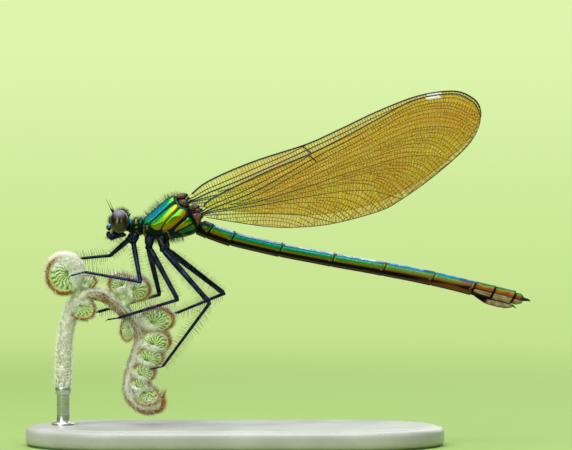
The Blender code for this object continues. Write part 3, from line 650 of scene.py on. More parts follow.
# The abdomen is ten hard rings that slide into one another, drawn here as one skin for each of
# its two finishes. Thin layers in the horn give it colours like metal: teal and green flanks that
# turn gold lower down, black below, and copper near the tail. The bright blue line along the back
# is a painted reflection of the sky. Its axis and each ring's length and reach above and below the
# axis are the solids' own.
ABDOMEN_AXIS = [
    (-3.88, 23.97), (-2.2, 23.3), (0.0, 22.6), (5.0, 21.45), (10.8, 20.35), (16.4, 19.35),
    (21.7, 18.3), (26.1, 17.25), (31.7, 15.85),
]
SEGMENTS = [
    (1.2, 0.9, 0.92), (2.6, 0.88, 0.88), (5.4, 0.8, 0.8), (5.8, 0.78, 0.78), (5.7, 0.79, 0.79),
    (5.4, 0.8, 0.8), (4.5, 0.8, 0.8), (2.2, 0.86, 0.76), (2.3, 0.86, 0.72), (1.1, 0.72, 0.62),
]
BREADTH = 0.96
RING_SLANT = 0.15
JOINT_GROOVE, JOINT_HALF_WIDTH = 0.12, 0.07
RING_SIDES = 84
PIT_DEPTH = 0.12


# The horn's colours from copper to blue, each at its place along the hue. The deepest blues at the top
# end serve the painted reflection of the sky along the back.
HORN_HUES = [
    (0.0, (0.36, 0.07, 0.02)),
    (0.14, (0.48, 0.17, 0.01)),
    (0.26, (0.42, 0.26, 0.004)),
    (0.36, (0.26, 0.32, 0.003)),
    (0.46, (0.09, 0.31, 0.006)),
    (0.56, (0.004, 0.26, 0.05)),
    (0.7, (0.0, 0.25, 0.16)),
    (0.84, (0.0, 0.27, 0.4)),
    (0.9, (0.0, 0.2, 0.75)),
    (1.0, (0.0, 0.12, 0.8)),
]


def lens_pattern(tree, scale):
    """The height of close round pits or lenses over a piece."""
    place = add_node(tree, "ShaderNodeTexCoord").outputs["Object"]
    return add_node(
        tree, "ShaderNodeTexVoronoi", {"Vector": place, "Scale": scale}
    ).outputs["Distance"]


def metal_horn_group():
    """Coloured horn: a hue from copper to blue, darkened to black or paled to horn by masks."""
    group = bpy.data.node_groups.new("metal_horn", "ShaderNodeTree")
    for label in ("Hue", "Black", "Pale", "Mottle", "Grain", "Gloss"):
        group.interface.new_socket(label, in_out="INPUT", socket_type="NodeSocketFloat")
    group.interface.new_socket("Color", in_out="OUTPUT", socket_type="NodeSocketColor")
    for label in ("Roughness", "Metallic", "Varnish", "Pits"):
        group.interface.new_socket(label, in_out="OUTPUT", socket_type="NodeSocketFloat")
    enter = group.nodes.new("NodeGroupInput").outputs
    leave = group.nodes.new("NodeGroupOutput").inputs
    cloud, grain = noise(group, 1500.0, 4.0), noise(group, 9000.0, 2.0)
    shift = reckon(group, "SUBTRACT", cloud, 0.5)
    shift = reckon(group, "MULTIPLY", shift, enter["Mottle"])
    band = add_node(group, "ShaderNodeValToRGB", {"Fac": reckon(group, "ADD", enter["Hue"], shift)})
    for number, (spot, colour) in enumerate(HORN_HUES):
        stops = band.color_ramp.elements
        stop = stops[0] if number == 0 else stops.new(spot)
        stop.position = spot
        stop.color = (*colour, 1.0)
    band.color_ramp.elements.remove(band.color_ramp.elements[-1])
    dark = reckon(group, "MULTIPLY", eased(group, grain, 0.42, 0.62), enter["Grain"])
    dark = reckon(group, "MAXIMUM", dark, enter["Black"])
    tone = blend_colours(group, dark, band.outputs["Color"], (0.002, 0.0025, 0.003))
    horn = eased(group, cloud, 0.35, 0.65)
    horn = blend_colours(group, horn, (0.4, 0.33, 0.24), (0.24, 0.15, 0.08))
    group.links.new(blend_colours(group, enter["Pale"], tone, horn), leave["Color"])
    # Hues past 0.86 turn the horn a rough, unmetallic bright blue. Along the back of the abdomen and
    # the upper edge of the front thorax plate, this is a painted reflection of the sky.
    painted_sky_blue = eased(group, enter["Hue"], 0.86, 0.92)
    dull = reckon(group, "ADD", enter["Gloss"], reckon(group, "MULTIPLY", enter["Pale"], 0.3))
    rough = reckon(group, "MULTIPLY_ADD", cloud, 0.12, dull)
    group.links.new(reckon(group, "MULTIPLY_ADD", painted_sky_blue, 0.75, rough), leave["Roughness"])
    lost = reckon(group, "ADD", reckon(group, "ADD", enter["Black"], enter["Pale"]), painted_sky_blue)
    metal = reckon(group, "SUBTRACT", 0.85, lost, clamp=True)
    group.links.new(metal, leave["Metallic"])
    group.links.new(reckon(group, "MULTIPLY", metal, 0.12), leave["Varnish"])
    group.links.new(lens_pattern(group, 11000.0), leave["Pits"])
    return group


metal_horn = metal_horn_group()


def metal_finish(name, mottle, gloss, grain=0.5):
    """A finish of coloured horn that reads its hue and masks from the mesh."""
    finish, tree, shader = new_finish(name, Coat_Roughness=0.12, Specular_IOR_Level=0.1)
    shader.inputs["Specular Tint"].default_value = (0.45, 0.7, 0.8, 1.0)
    horn = add_node(tree, "ShaderNodeGroup", node_tree=metal_horn)
    for label, value in (("Mottle", mottle), ("Gloss", gloss), ("Grain", grain)):
        horn.inputs[label].default_value = value
    for label in ("Hue", "Black", "Pale"):
        tree.links.new(mask_value(tree, label.lower()), horn.inputs[label])
    tone, rough, metal, varnish, pits = horn.outputs
    feed(tree, shader, Base_Color=tone, Roughness=rough, Metallic=metal, Coat_Weight=varnish)
    roughen(tree, shader, pits, PIT_DEPTH, 0.02)
    return finish


abdomen_line = curve_through([(x, 0.0, z) for x, z in ABDOMEN_AXIS], 1200)
abdomen_run = run_of(abdomen_line)
abdomen_aim = unit(np.gradient(abdomen_line, axis=0))
stretch = (abdomen_run[-1] - 0.05) / sum(segment[0] for segment in SEGMENTS)
ring_starts = np.concatenate([[0], np.cumsum([segment[0] for segment in SEGMENTS])]) * stretch


def on_axis(distance):
    """Centre, direction and upward direction of the abdomen's axis at some distances."""
    distance = np.asarray(distance, float)
    centre = along_run(distance, abdomen_run, abdomen_line)
    along = unit(along_run(distance, abdomen_run, abdomen_aim))
    centre = centre + along * np.minimum(distance, 0.0)[..., None]
    centre = centre + along * np.maximum(distance - abdomen_run[-1], 0.0)[..., None]
    return centre, along, unit(np.cross(along, np.array([0.0, 1.0, 0.0])))


def abdomen_skin(first, last, lead_in, rows_each=46):
    """Rings of the abdomen from one segment to another, with place values for its colours."""
    steps = 0.5 - 0.5 * np.cos(math.pi * np.linspace(0.06, 0.975, rows_each))
    distance, number, share = [], [], []
    for k in range(first - 1, last):
        low, high = ring_starts[k], ring_starts[k + 1]
        distance.append(low + (high - low) * steps)
        number.append(np.full(len(steps), k + 1))
        share.append(steps)
    begin = ring_starts[first - 1] - np.array(lead_in)
    distance = np.concatenate([begin, *distance])
    number = np.concatenate([np.full(len(begin), first), *number])
    share = np.concatenate([np.zeros(len(begin)), *share])
    rows = len(distance)
    reach = np.array(SEGMENTS)[number - 1]
    length = reach[:, 0] * stretch
    flare = 0.97 - 0.05 * np.exp(-share / 0.03) + 0.015 * (1 - share) + 0.05 * share**4
    after = share * length
    groove = 1 - JOINT_GROOVE * np.exp(-((after / JOINT_HALF_WIDTH) ** 2))
    flare = flare * groove * np.where(distance < ring_starts[first - 1], 0.86, 1.0)
    above, below = reach[:, 1] * flare, reach[:, 2] * flare
    turn = round_turn(RING_SIDES)
    rise = np.sin(turn)[None]
    down = (1 - rise) / 2
    fold = 0.07 * near_to(down, 0.86, 0.035) - 0.03 * near_to(down, 0.78, 0.05)
    keel = 0.02 * near_to(down, 0.0, 0.004)
    tall = np.where(rise > 0, above[:, None], below[:, None]) * (1 - fold + keel)
    wide = ((above + below) / 2 * BREADTH)[:, None] * (1 - fold)
    centre, along, upward = on_axis(distance)
    rings = centre[:, None] + upward[:, None] * (tall * rise)[..., None]
    rings = rings + np.array([0.0, 1.0, 0.0]) * (wide * np.cos(turn)[None])[..., None]
    rings = rings + along[:, None] * RING_SLANT * rise[..., None]
    spread = np.ones((rows, RING_SIDES))
    before = (1 - share) * length
    facts = {"number": number, "share": share, "after": after, "before": before}
    return rings, down * spread, {label: value[:, None] * spread for label, value in facts.items()}


def joint_marks(down, facts, hue, black, pale):
    """The black ring of each joint, the bright curved line before it and its silver point."""
    before, after = facts["before"], facts["after"]
    curve = 0.2 + 0.5 * (down - 0.3) ** 2
    flank = soft_step(down, 0.14, 0.2) * (1 - soft_step(down, 0.5, 0.56))
    line = near_to(before, curve, 0.05) * flank
    hue = hue + (0.47 - hue) * line
    rims = (near_to(before, curve + 0.11, 0.035) + near_to(before, curve - 0.12, 0.04)) * flank
    black = np.clip(black * (1 - line) + rims, 0, 1)
    ring = np.maximum(near_to(before, 0.0, 0.11), near_to(after, 0.0, 0.12))
    red = ring * (1 - soft_step(down, 0.1, 0.3))
    hue = hue * (1 - red)
    black = np.maximum(black, ring * (1 - 0.3 * red))
    silver = near_to(before, 0.34, 0.07) * near_to(down, 0.57, 0.035)
    return hue, black * (1 - silver), np.maximum(pale, 0.9 * silver)


# The flank's hue by how far down it is, from the back at 0 to the belly at 1. The bluest hues along the
# top of the back paint a reflection of the sky.
FLANK_HUES = [
    (0.0, 1.0), (0.12, 0.93), (0.15, 0.74), (0.28, 0.66), (0.42, 0.48), (0.52, 0.3), (0.58, 0.22)
]


def front_colours(down, facts):
    """Masks of the first seven rings."""
    number, share = facts["number"], facts["share"]
    rear = soft_step(number + share, 4.2, 7.2)
    hue = np.interp(down, *zip(*FLANK_HUES))
    second = (number == 2) * soft_step(down, 0.15, 0.2) * (1 - soft_step(share, 0.6, 0.9))
    hue = hue - 0.14 * second
    hue = hue - 0.08 * (down < 0.14) * soft_step(number, 4.5, 6.5)
    hue = hue - rear * soft_step(down, 0.15, 0.2) * 0.2
    copper = soft_step(number + share, 7.35, 7.9) * soft_step(down, 0.12, 0.16)
    hue = hue + (0.1 - hue) * copper
    black = 0.9 * near_to(down, 0.17, 0.024) + soft_step(down, 0.555, 0.6)
    black = black + 0.3 * rear * soft_step(down, 0.18, 0.26)
    black = black + 0.35 * soft_step(down, 0.32, 0.48) + 0.35 * copper
    reach = np.interp(number, [1, 2, 3, 4, 5, 6, 7], [0.9, 0.97, 0.97, 0.97, 0.8, 0.75, 0.6])
    fade = soft_step(share, reach - 0.03, reach + 0.02) * (1 - soft_step(down, 0.12, 0.16))
    black = np.clip(black + 0.6 * fade, 0, 1)
    first = number < 1.5
    gold = first * near_to(down, 0.42, 0.12) * near_to(share, 0.55, 0.4)
    black = np.clip(black + first * 0.85 - 0.8 * gold, 0, 1)
    hue = hue + (0.2 + 0.35 * (share > 0.6) - hue) * gold
    brown = near_to(down, 0.895, 0.018) * (0.5 + 0.3 * (number > 5))
    wave = 0.63 + 0.04 * np.sin(share * 7 + number * 2)
    wide = soft_step(number + share, 6.5, 7.4) * soft_step(down, wave, wave + 0.05)
    wide = wide * (1 - soft_step(down, 0.84, 0.88)) * (1 - 0.5 * near_to(down, wave + 0.1, 0.03))
    brown = np.clip(brown + 0.62 * wide, 0, 0.8)
    hue = hue + (0.09 - hue) * np.clip(brown * 1.6, 0, 1)
    black = black * (1 - 0.72 * brown)
    pale = 0.12 * rear * soft_step(down, 0.14, 0.2) * (1 - soft_step(down, 0.44, 0.5))
    return joint_marks(down, facts, hue, black, pale)


def shell_piece(name, rings, colours, finish, nodes):
    """A closed metal-coloured skin with its masks, riding on the model."""
    points, faces = closed_loft(rings)
    masks = {}
    for label, values in zip(("hue", "black", "pale"), colours):
        masks[label] = np.concatenate([values.ravel(), [values[0, 0], values[-1, 0]]])
    piece = new_piece(name, points, faces, finish, masks=masks)
    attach(piece, "root")
    if nodes:
        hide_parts(*nodes)


green_horn = metal_finish("green_horn", 0.16, 0.2)
rings, down, facts = abdomen_skin(1, 7, (0.5, 0.35, 0.2, 0.06))
colours = front_colours(down, facts)
nodes = [f"abdomen_segment_{k:02d}" for k in range(1, 8)]
shell_piece("abdomen_front", rings, colours, green_horn, nodes)

# The last three rings are copper above, with pale horny side plates spotted with tan, and the
# last one closes round the vent. Below them the pair of pale blades that lay the eggs is folded
# away, each with a black stylus, and two short black cerci point back from the end.
SHEATH_LENGTH, SHEATH_END = 4.6, 0.85
BLADE_ROWS = 46
STYLUS_LENGTH, CERCUS_LENGTH = 0.62, 0.62


def tail_colours(down, facts):
    """Masks of the last three rings."""
    number, share = facts["number"], facts["share"]
    hue = np.interp(down, [0.0, 0.04, 0.12, 0.2, 0.45], [0.82, 0.7, 0.4, 0.1, 0.06])
    hue = hue + 0.12 * np.sin(share * 9 + number * 2) * near_to(down, 0.2, 0.12)
    black = 0.45 + 0.3 * near_to(down, 0.02, 0.03) + 0.9 * near_to(down, 0.47, 0.03)
    top = np.interp(number, [8, 9, 10], [0.5, 0.47, 0.5])
    low = np.interp(number, [8, 9, 10], [0.84, 0.95, 1.1])
    low = low - (number < 8.5) * 0.1 * (1 - share)
    inside = soft_step(down, top, top + 0.04) * (1 - soft_step(down, low - 0.05, low))
    inside = inside * soft_step(share, 0.04, 0.1) * (1 - soft_step(share, 0.9, 0.96))
    spots = ripple(share * 3 + number * 4, 5, 2.4) * ripple(down * 7, 9, 1.9)
    tan = near_to(spots, 0.35, 0.18) * inside
    black = np.where(down > top, np.maximum(black, 0.95 * soft_step(down, top, top + 0.03)), black)
    streak = (number < 8.5) * near_to(down, 0.6 + 0.05 * share, 0.02) * soft_step(share, 0.25, 0.35)
    pale = inside * (1 - 0.45 * tan) * (1 - 0.95 * streak)
    hue = np.where(inside > 0.3, 0.08, hue)
    ring = np.maximum(near_to(facts["before"], 0.0, 0.1), near_to(facts["after"], 0.0, 0.16))
    ring = ring * np.where((number > 9.5) & (facts["before"] < 0.3), 0.0, 1.0)
    return hue, np.clip(black + ring, 0, 1) * (1 - pale), pale * (1 - ring)


copper_horn = metal_finish("copper_horn", 0.3, 0.27)
rings, down, facts = abdomen_skin(8, 10, (0.3, 0.1))
closing = soft_step(facts["number"] + facts["share"], 10.55, 11.0)[:, :1, None]
middle = rings.mean(1, keepdims=True)
rings = middle + (rings - middle) * (1 - 0.42 * closing)
colours = tail_colours(down, facts)
nodes = [f"abdomen_segment_{k:02d}" for k in (8, 9, 10)]
shell_piece("abdomen_tail", rings, colours, copper_horn, nodes)

black_horn, tree, shader = new_finish(
    "black_horn", Coat_Weight=0.06, Coat_Roughness=0.2, Specular_IOR_Level=0.15
)
shader.inputs["Specular Tint"].default_value = (0.1, 0.16, 0.35, 1.0)
cloud = noise(tree, 1300.0, 3.0)
tone = blend_colours(tree, eased(tree, cloud, 0.35, 0.7), (0.006, 0.008, 0.016), (0.022, 0.036, 0.09))
pale = reckon(tree, "MULTIPLY", mask_value(tree, "pale"), eased(tree, cloud, 0.42, 0.58))
feed(
    tree, shader,
    Base_Color=blend_colours(tree, pale, tone, (0.3, 0.24, 0.16)),
    Metallic=reckon(tree, "SUBTRACT", 0.75, pale, clamp=True),
    Roughness=eased(tree, cloud, 0.3, 0.7, 0.24, 0.42),
)
roughen(tree, shader, lens_pattern(tree, 9000.0), 0.15, 0.02)

for side, label in ((-1, "left"), (1, "right")):
    share = np.linspace(0, 1, BLADE_ROWS)
    start = ring_starts[-1] - SHEATH_LENGTH - SHEATH_END
    centre, along, upward = on_axis(start + SHEATH_LENGTH * share)
    places = [0, 0.06, 0.3, 0.6, 0.8, 0.94, 1.0]
    half = np.interp(share, places, [0.02, 0.1, 0.3, 0.37, 0.33, 0.2, 0.05])
    belly = np.interp(share, [0.0, 0.4, 0.6, 1.0], [0.72, 0.78, 0.72, 0.74])
    middle = centre - upward * (belly + half * 0.86 - 0.06)[:, None]
    middle[:, 1] += side * 0.15
    blade = tube(middle, half, 28, 0.13 + 0.35 * half, across=(0.0, side, 0.0))
    level = (blade - middle[:, None]) @ np.array([0.0, 0.0, 1.0]) / np.maximum(half, 0.02)[:, None]
    rim = soft_step(np.abs(level), 0.62, 0.8) + 1 - soft_step(share, 0.3, 0.42)[:, None]
    rim = np.clip(np.clip(rim, 0, 1) + soft_step(share, 0.93, 0.98)[:, None], 0, 1)
    edge = np.where(level < -0.7, 0.6, 1.0)
    colours = (np.full(level.shape, 0.04), rim * edge, 1 - rim)
    nodes = ["ovipositor"] if side < 0 else []
    shell_piece(f"egg_blade_{label}", blade, colours, copper_horn, nodes)

    start = middle[-3] + np.array([0.0, 0.0, 0.05])
    aim = unit(along[-1] * 0.9 - upward[-1] * 0.3)
    path = start + np.outer(np.linspace(0, STYLUS_LENGTH, 10), aim)
    thick = np.interp(np.linspace(0, 1, 10), [0, 0.7, 1], [0.075, 0.06, 0.015])
    stylus = closed_loft(tube(path, thick, 10))
    tip, along, upward = (value[0] for value in on_axis([ring_starts[-1] - 0.02]))
    root = tip + along * 0.25 + np.array([0.0, side * 0.36, 0.2])
    ahead = along * CERCUS_LENGTH
    ends = np.array([root - along * 0.45, root, root + ahead * 0.55, root + ahead])
    ends[2] += np.array([0.0, side * 0.05, 0.04])
    ends[3] += np.array([0.0, -side * 0.04, -0.05])
    path = curve_through(ends, 24)
    share = np.linspace(0, 1, 24)
    thick = np.interp(share, [0, 0.3, 0.6, 0.9, 1], [0.17, 0.2, 0.15, 0.07, 0.02])
    cercus = closed_loft(tube(path, thick * (1 + 0.06 * ripple(share, 4, 25.0)), 18))
    points, faces = joined([cercus, stylus])
    masks = {"pale": np.zeros(len(points))}
    spike = new_piece(f"cercus_and_stylus_{label}", points, faces, black_horn, masks=masks)
    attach(spike, "root")
    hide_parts(f"cercus_{label}")

# The thorax is a stiff, slanting box of hard plates that carries the wings and legs. It is one
# skin here, with the plates swelling a little between grooved black seams. Each plate shines
# from blue or teal at its upper edge through green to gold at its lower front end. The bluest
# upper edge of the front plate is partly a painted reflection of the sky.
THORAX_PROFILE = [
    (-10.3, 23.7, 24.25), (-10.15, 23.25, 24.72), (-9.8, 22.85, 25.05), (-9.1, 22.65, 25.6),
    (-8.4, 22.6, 26.2), (-7.7, 22.6, 26.8), (-7.05, 22.65, 27.25), (-6.4, 22.75, 27.4),
    (-5.7, 22.85, 27.2), (-5.1, 23.0, 26.5), (-4.55, 23.2, 25.7), (-4.2, 23.45, 24.95),
    (-3.95, 23.6, 24.5),
]
THORAX_ROWS, THORAX_SIDES = 230, 200
PLATE_SWELL, SEAM_DEPTH = 0.09, 0.05

# Each plate: outline in side view, the line its colours run along, its hues along that line, and
# how much the hue rises from its lower to its upper edge.
PLATES = [
    # The first plate's bluest upper edge is partly a painted reflection of the sky.
    (
        [(-10.05, 24.95), (-8.4, 26.5), (-7.1, 27.5), (-6.72, 27.45), (-6.68, 26.86),
         (-8.0, 25.75), (-9.45, 24.42), (-9.97, 24.3)],
        ((-9.9, 24.5), (-6.7, 27.1)), [0.58, 0.78, 0.84, 0.83, 0.66, 0.44], 0.14,
    ),
    (
        [(-9.28, 24.28), (-9.0, 24.68), (-7.8, 25.7), (-6.65, 26.45), (-6.35, 26.5),
         (-6.12, 26.1), (-6.9, 25.25), (-7.6, 24.5), (-8.14, 23.72), (-8.45, 23.62),
         (-8.8, 23.68), (-9.2, 23.98)],
        ((-8.6, 23.8), (-6.3, 26.4)), [0.26, 0.37, 0.39, 0.4, 0.38, 0.3], 0.42,
    ),
    (
        [(-7.99, 23.76), (-7.63, 24.41), (-6.94, 25.2), (-6.05, 26.0), (-5.6, 26.0),
         (-5.3, 25.82), (-5.17, 25.5), (-5.35, 25.25), (-6.2, 24.5), (-7.0, 23.8),
         (-7.75, 23.46)],
        ((-7.7, 23.6), (-5.3, 25.8)), [0.14, 0.2, 0.24, 0.28, 0.32, 0.2], 0.46,
    ),
    (
        [(-6.62, 23.42), (-6.48, 23.78), (-5.9, 24.3), (-5.3, 24.8), (-5.14, 25.04),
         (-4.82, 24.96), (-4.6, 24.45), (-5.4, 23.98)],
        ((-6.5, 23.6), (-4.9, 24.9)), [0.14, 0.2, 0.24, 0.26, 0.4, 0.66], 0.2,
    ),
    (
        [(-6.3, 23.42), (-5.4, 23.86), (-4.52, 24.28), (-4.28, 23.95), (-4.46, 23.68),
         (-5.8, 23.24)],
        ((-6.2, 23.3), (-4.4, 24.1)), [0.5, 0.54, 0.56, 0.56, 0.54, 0.5], 0.0,
    ),
    (
        [(-9.75, 24.2), (-9.5, 24.15), (-9.45, 23.75), (-9.6, 23.55), (-9.75, 23.7)],
        ((-9.6, 23.55), (-9.6, 24.2)), [0.06, 0.1, 0.3, 0.5, 0.56, 0.56], 0.0,
    ),
]


def along_line(points, line):
    """Distance of flat points from a bent line, and how far along it each is nearest."""
    line = np.asarray(line, float)
    best = np.full(len(points), 1e9)
    where = np.zeros(len(points))
    for k, (near, far) in enumerate(zip(line, line[1:])):
        step = far - near
        share = np.clip((points - near) @ step / (step @ step), 0, 1)
        gap = np.linalg.norm(points - near - share[:, None] * step, axis=1)
        closer = gap < best
        best, where = np.where(closer, gap, best), np.where(closer, k + share, where)
    return best, where / (len(line) - 1)


def depth_inside(points, outline):
    """Distance of flat points from an outline, above zero inside it."""
    gap, _ = along_line(points, [*outline, outline[0]])
    within = np.zeros(len(points), bool)
    for (ax, az), (bx, bz) in zip(outline, [*outline[1:], outline[0]]):
        spans = (az > points[:, 1]) != (bz > points[:, 1])
        reach = ax + (points[:, 1] - az) * (bx - ax) / (bz - az if bz != az else 1e-9)
        within ^= spans & (points[:, 0] < reach)
    return np.where(within, gap, -gap)


def body_rings(profile, sideways, rise):
    """Rings upright across a profile of rows (place along, lowest, highest)."""
    middle, half = (profile[:, 1] + profile[:, 2]) / 2, (profile[:, 2] - profile[:, 1]) / 2
    along = np.repeat(profile[:, :1], sideways.shape[1], axis=1)
    return np.stack([along, sideways, middle[:, None] + half[:, None] * rise], -1)


def outward(grid):
    """Normals of a grid of rings that is closed round."""
    around = np.roll(grid, -1, axis=1) - np.roll(grid, 1, axis=1)
    return unit(np.cross(around, np.gradient(grid, axis=0)))


profile = curve_through(THORAX_PROFILE, THORAX_ROWS)
share = np.clip((profile[:, 0] + 10.15) / 5.95, 0, 1)
half_width = 2.1 * np.sin(math.pi * (0.17 + 0.68 * share)) ** 0.55
closing = np.interp(profile[:, 0], [-10.3, -10.1, -4.2, -3.95], [0.55, 1.0, 1.0, 0.6])
half_width = half_width * closing
turn = round_turn(THORAX_SIDES)
rise, swing = np.sin(turn), np.sign(np.cos(turn)) * np.abs(np.cos(turn)) ** 0.8
swing = swing * (1 - 0.5 * np.maximum(0, rise))
thorax = body_rings(profile, half_width[:, None] * swing, rise)
middle = (profile[:, 1] + profile[:, 2])[:, None] / 2
normals = outward(thorax)
normals = normals * np.sign((normals[..., 2] * (thorax[..., 2] - middle)).sum())
flat = thorax[..., (0, 2)].reshape(-1, 2)
aside = np.abs(thorax[..., 1]).ravel()
hue, black, lift = np.full(len(flat), 0.55), np.full(len(flat), 0.97), np.zeros(len(flat))
for outline, (near, far), tints, climb in PLATES:
    depth = depth_inside(flat, outline)
    inside = soft_step(depth, -0.01, 0.06)
    run = np.array(far) - np.array(near)
    length = np.linalg.norm(run)
    at = np.clip((flat - near) @ run / length**2, 0, 1)
    over = ((flat - near) @ np.array([-run[1], run[0]])) / length
    tint = np.interp(at, np.linspace(0, 1, len(tints)), tints) + climb * np.clip(over, -0.35, 0.45)
    tint = tint - 0.22 * near_to(depth, 0.0, 0.09) * soft_step(at, 0.75, 1.0)
    hue = hue + (tint - hue) * inside
    dim = 0.55 if climb == 0 else 0.0
    black = black + (dim - black) * inside
    lift = lift + PLATE_SWELL * (1 - np.exp(-np.maximum(depth, 0) / 0.14))
    lift = lift - SEAM_DEPTH * near_to(depth, -0.06, 0.07)
glint = near_to(along_line(flat, [(-8.45, 23.78), (-8.3, 23.82)])[0], 0.0, 0.12)
hue, black = hue + (0.3 - hue) * glint, black * (1 - glint)
rim, _ = along_line(flat, [(-6.5, 27.15), (-6.24, 26.4), (-5.95, 26.12), (-5.15, 25.98)])
hue, black = hue + (0.74 - hue) * near_to(rim, 0, 0.05), black - 0.6 * near_to(rim, 0, 0.045)
ridge = 1 - soft_step(aside, 0.26, 0.36)
black = np.maximum(black, ridge * (flat[:, 1] > 24.2))
lift = lift + 0.05 * near_to(aside, 0.0, 0.12) * (flat[:, 0] < -6.8)
pale = np.zeros(len(flat))
for line in (
    [(-7.85, 23.42), (-7.5, 23.5), (-7.3, 23.38), (-7.25, 23.1), (-7.0, 22.85)],
    [(-5.7, 23.12), (-5.0, 23.02), (-4.6, 23.1)],
    [(-9.95, 23.75), (-10.0, 23.4), (-9.6, 22.95)],
):
    pale = np.maximum(pale, 0.55 * near_to(along_line(flat, line)[0], 0.0, 0.06))
thorax = thorax + normals * lift.reshape(thorax.shape[:2])[..., None]
masks = [value.reshape(thorax.shape[:2]) for value in (hue, black, pale)]
thorax_horn = metal_finish("thorax_horn", 0.2, 0.2, 0.3)
shell_piece("thorax_plates", thorax, masks, thorax_horn, ["thorax"])

# At each wing root small leathery plates, rust brown with black seams, fold as the wing beats.
# They are separate domed plates here, one over another, with black knobs of horn between them
# where the thick veins of the wing begin.

# Each plate: how far out its foot lies, how high it swells, and its outline in side view.
HINGE_PLATES = [
    (0.62, 0.5, [(-6.48, 27.12), (-6.35, 27.48), (-5.95, 27.7), (-5.5, 27.72), (-5.3, 27.5),
                 (-5.45, 27.12), (-5.95, 27.0)]),
    (0.8, 0.5, [(-6.12, 27.05), (-5.6, 27.06), (-5.22, 26.85), (-5.05, 26.5), (-5.2, 26.2),
                (-5.5, 26.1), (-5.9, 26.35), (-6.2, 26.7)]),
    (1.2, 0.45, [(-5.05, 26.1), (-4.8, 26.38), (-4.35, 26.5), (-4.0, 26.3), (-4.1, 25.95),
                 (-4.5, 25.75), (-4.95, 25.85)]),
    (1.36, 0.36, [(-4.4, 25.98), (-3.95, 26.08), (-3.66, 25.84), (-3.9, 25.55), (-4.35, 25.55)]),
    (1.3, 0.42, [(-4.68, 25.45), (-4.2, 25.62), (-3.6, 25.52), (-3.48, 25.1), (-3.72, 24.8),
                 (-3.95, 24.2), (-4.1, 24.02), (-4.32, 24.6), (-4.62, 25.05)]),
]

# Each knob: its middle and its radius.
KNOBS = [
    (-5.36, 0.7, 27.5, 0.19), (-5.14, 0.6, 27.14, 0.17), (-5.02, 0.62, 26.7, 0.16),
    (-5.3, 0.9, 26.95, 0.15), (-4.9, 1.1, 26.15, 0.15), (-4.02, 1.5, 26.22, 0.16),
    (-3.72, 1.52, 25.9, 0.17), (-3.6, 1.52, 25.45, 0.15), (-4.6, 1.25, 25.62, 0.16),
    (-4.35, 1.3, 26.3, 0.13),
]
PLATE_RINGS, PLATE_SIDES = 26, 96
hinge_skin, tree, shader = new_finish("hinge_skin", Coat_Weight=0.15, Coat_Roughness=0.25)
cloud = noise(tree, 2100.0, 4.0)
tone = blend_colours(tree, eased(tree, cloud, 0.35, 0.65), (0.03, 0.007, 0.003), (0.17, 0.042, 0.01))
tone = blend_colours(tree, mask_value(tree, "black"), tone, (0.006, 0.006, 0.008))
feed(tree, shader, Base_Color=tone, Roughness=eased(tree, cloud, 0.3, 0.7, 0.32, 0.5))
roughen(tree, shader, cloud, 0.5, 0.08)


def domed_plate(outline, foot, height, side, seed):
    """A swelling plate with the given outline in side view, and its black seams."""
    outline = curve_through([*outline, outline[0]], PLATE_SIDES + 1)[:-1]
    middle = outline.mean(0)
    reach = np.concatenate([np.linspace(0.06, 0.8, PLATE_RINGS - 8), np.linspace(0.84, 1.0, 8)])
    front = middle + (outline - middle)[None] * reach[:, None, None]
    angle = round_turn(PLATE_SIDES)[None]
    crease = ripple(np.cos(angle * 2 + seed) * 1.4 + reach[:, None] * 3, seed, 1.3)
    dome = foot + height * np.sqrt(np.maximum(1 - reach**2, 0))[:, None] * (1 + 0.12 * crease)
    back = np.full_like(dome, foot - 0.25)
    flat = np.concatenate([front, front[::-1] * 0.6 + middle * 0.4])
    out = np.concatenate([dome, back])
    grid = np.stack([flat[..., 0], side * out, flat[..., 1]], -1)
    seam = near_to(crease, 0.2, 0.1) * soft_step(reach, 0.3, 0.5)[:, None]
    seam = np.maximum(soft_step(reach, 0.84, 0.97)[:, None], seam)
    return grid, np.concatenate([seam, np.ones_like(seam)])


for side, label in ((-1, "left"), (1, "right")):
    shapes, marks = [], []
    for seed, (foot, height, outline) in enumerate(HINGE_PLATES, 3):
        grid, seam = domed_plate(outline, foot, height, side, seed)
        shapes.append(closed_loft(grid, side > 0))
        marks.append(np.concatenate([seam.ravel(), [0.0, 1.0]]))
    for x, y, z, size in KNOBS:
        angle = np.linspace(0.05, math.pi - 0.05, 12)
        aim = unit(np.array([1.0, 0.2 * side, 0.35]))
        path = np.array([x, side * y, z]) - np.outer(np.cos(angle) * size, aim)
        ball = closed_loft(tube(path, size * np.sin(angle), 14))
        shapes.append(ball)
        marks.append(np.ones(len(ball[0])))
    points, faces = joined(shapes)
    masks = {"black": np.concatenate(marks)}
    hinge = new_piece(f"hinge_plates_{label}", points, faces, hinge_skin, masks=masks)
    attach(hinge, "root")

# The neck and the prothorax are small saddles of horn between head and thorax, black with a few
# coloured lobes. They are one lumpy skin, running a little way into the parts at both ends.
# Each row of the profile is a place along the body, lowest and highest point, and half width.
PROTHORAX_PROFILE = [
    (-12.1, 23.6, 24.55, 0.5), (-11.72, 23.45, 24.72, 0.62), (-11.52, 23.2, 24.86, 0.8),
    (-11.28, 23.05, 24.72, 0.88), (-11.08, 22.95, 24.86, 1.0), (-10.86, 22.92, 25.06, 1.08),
    (-10.68, 22.95, 24.9, 1.02), (-10.54, 22.98, 24.8, 0.98), (-10.4, 23.02, 25.02, 1.1),
    (-10.26, 23.1, 25.12, 1.08), (-10.1, 23.2, 24.8, 0.9), (-9.8, 23.4, 24.4, 0.7),
]

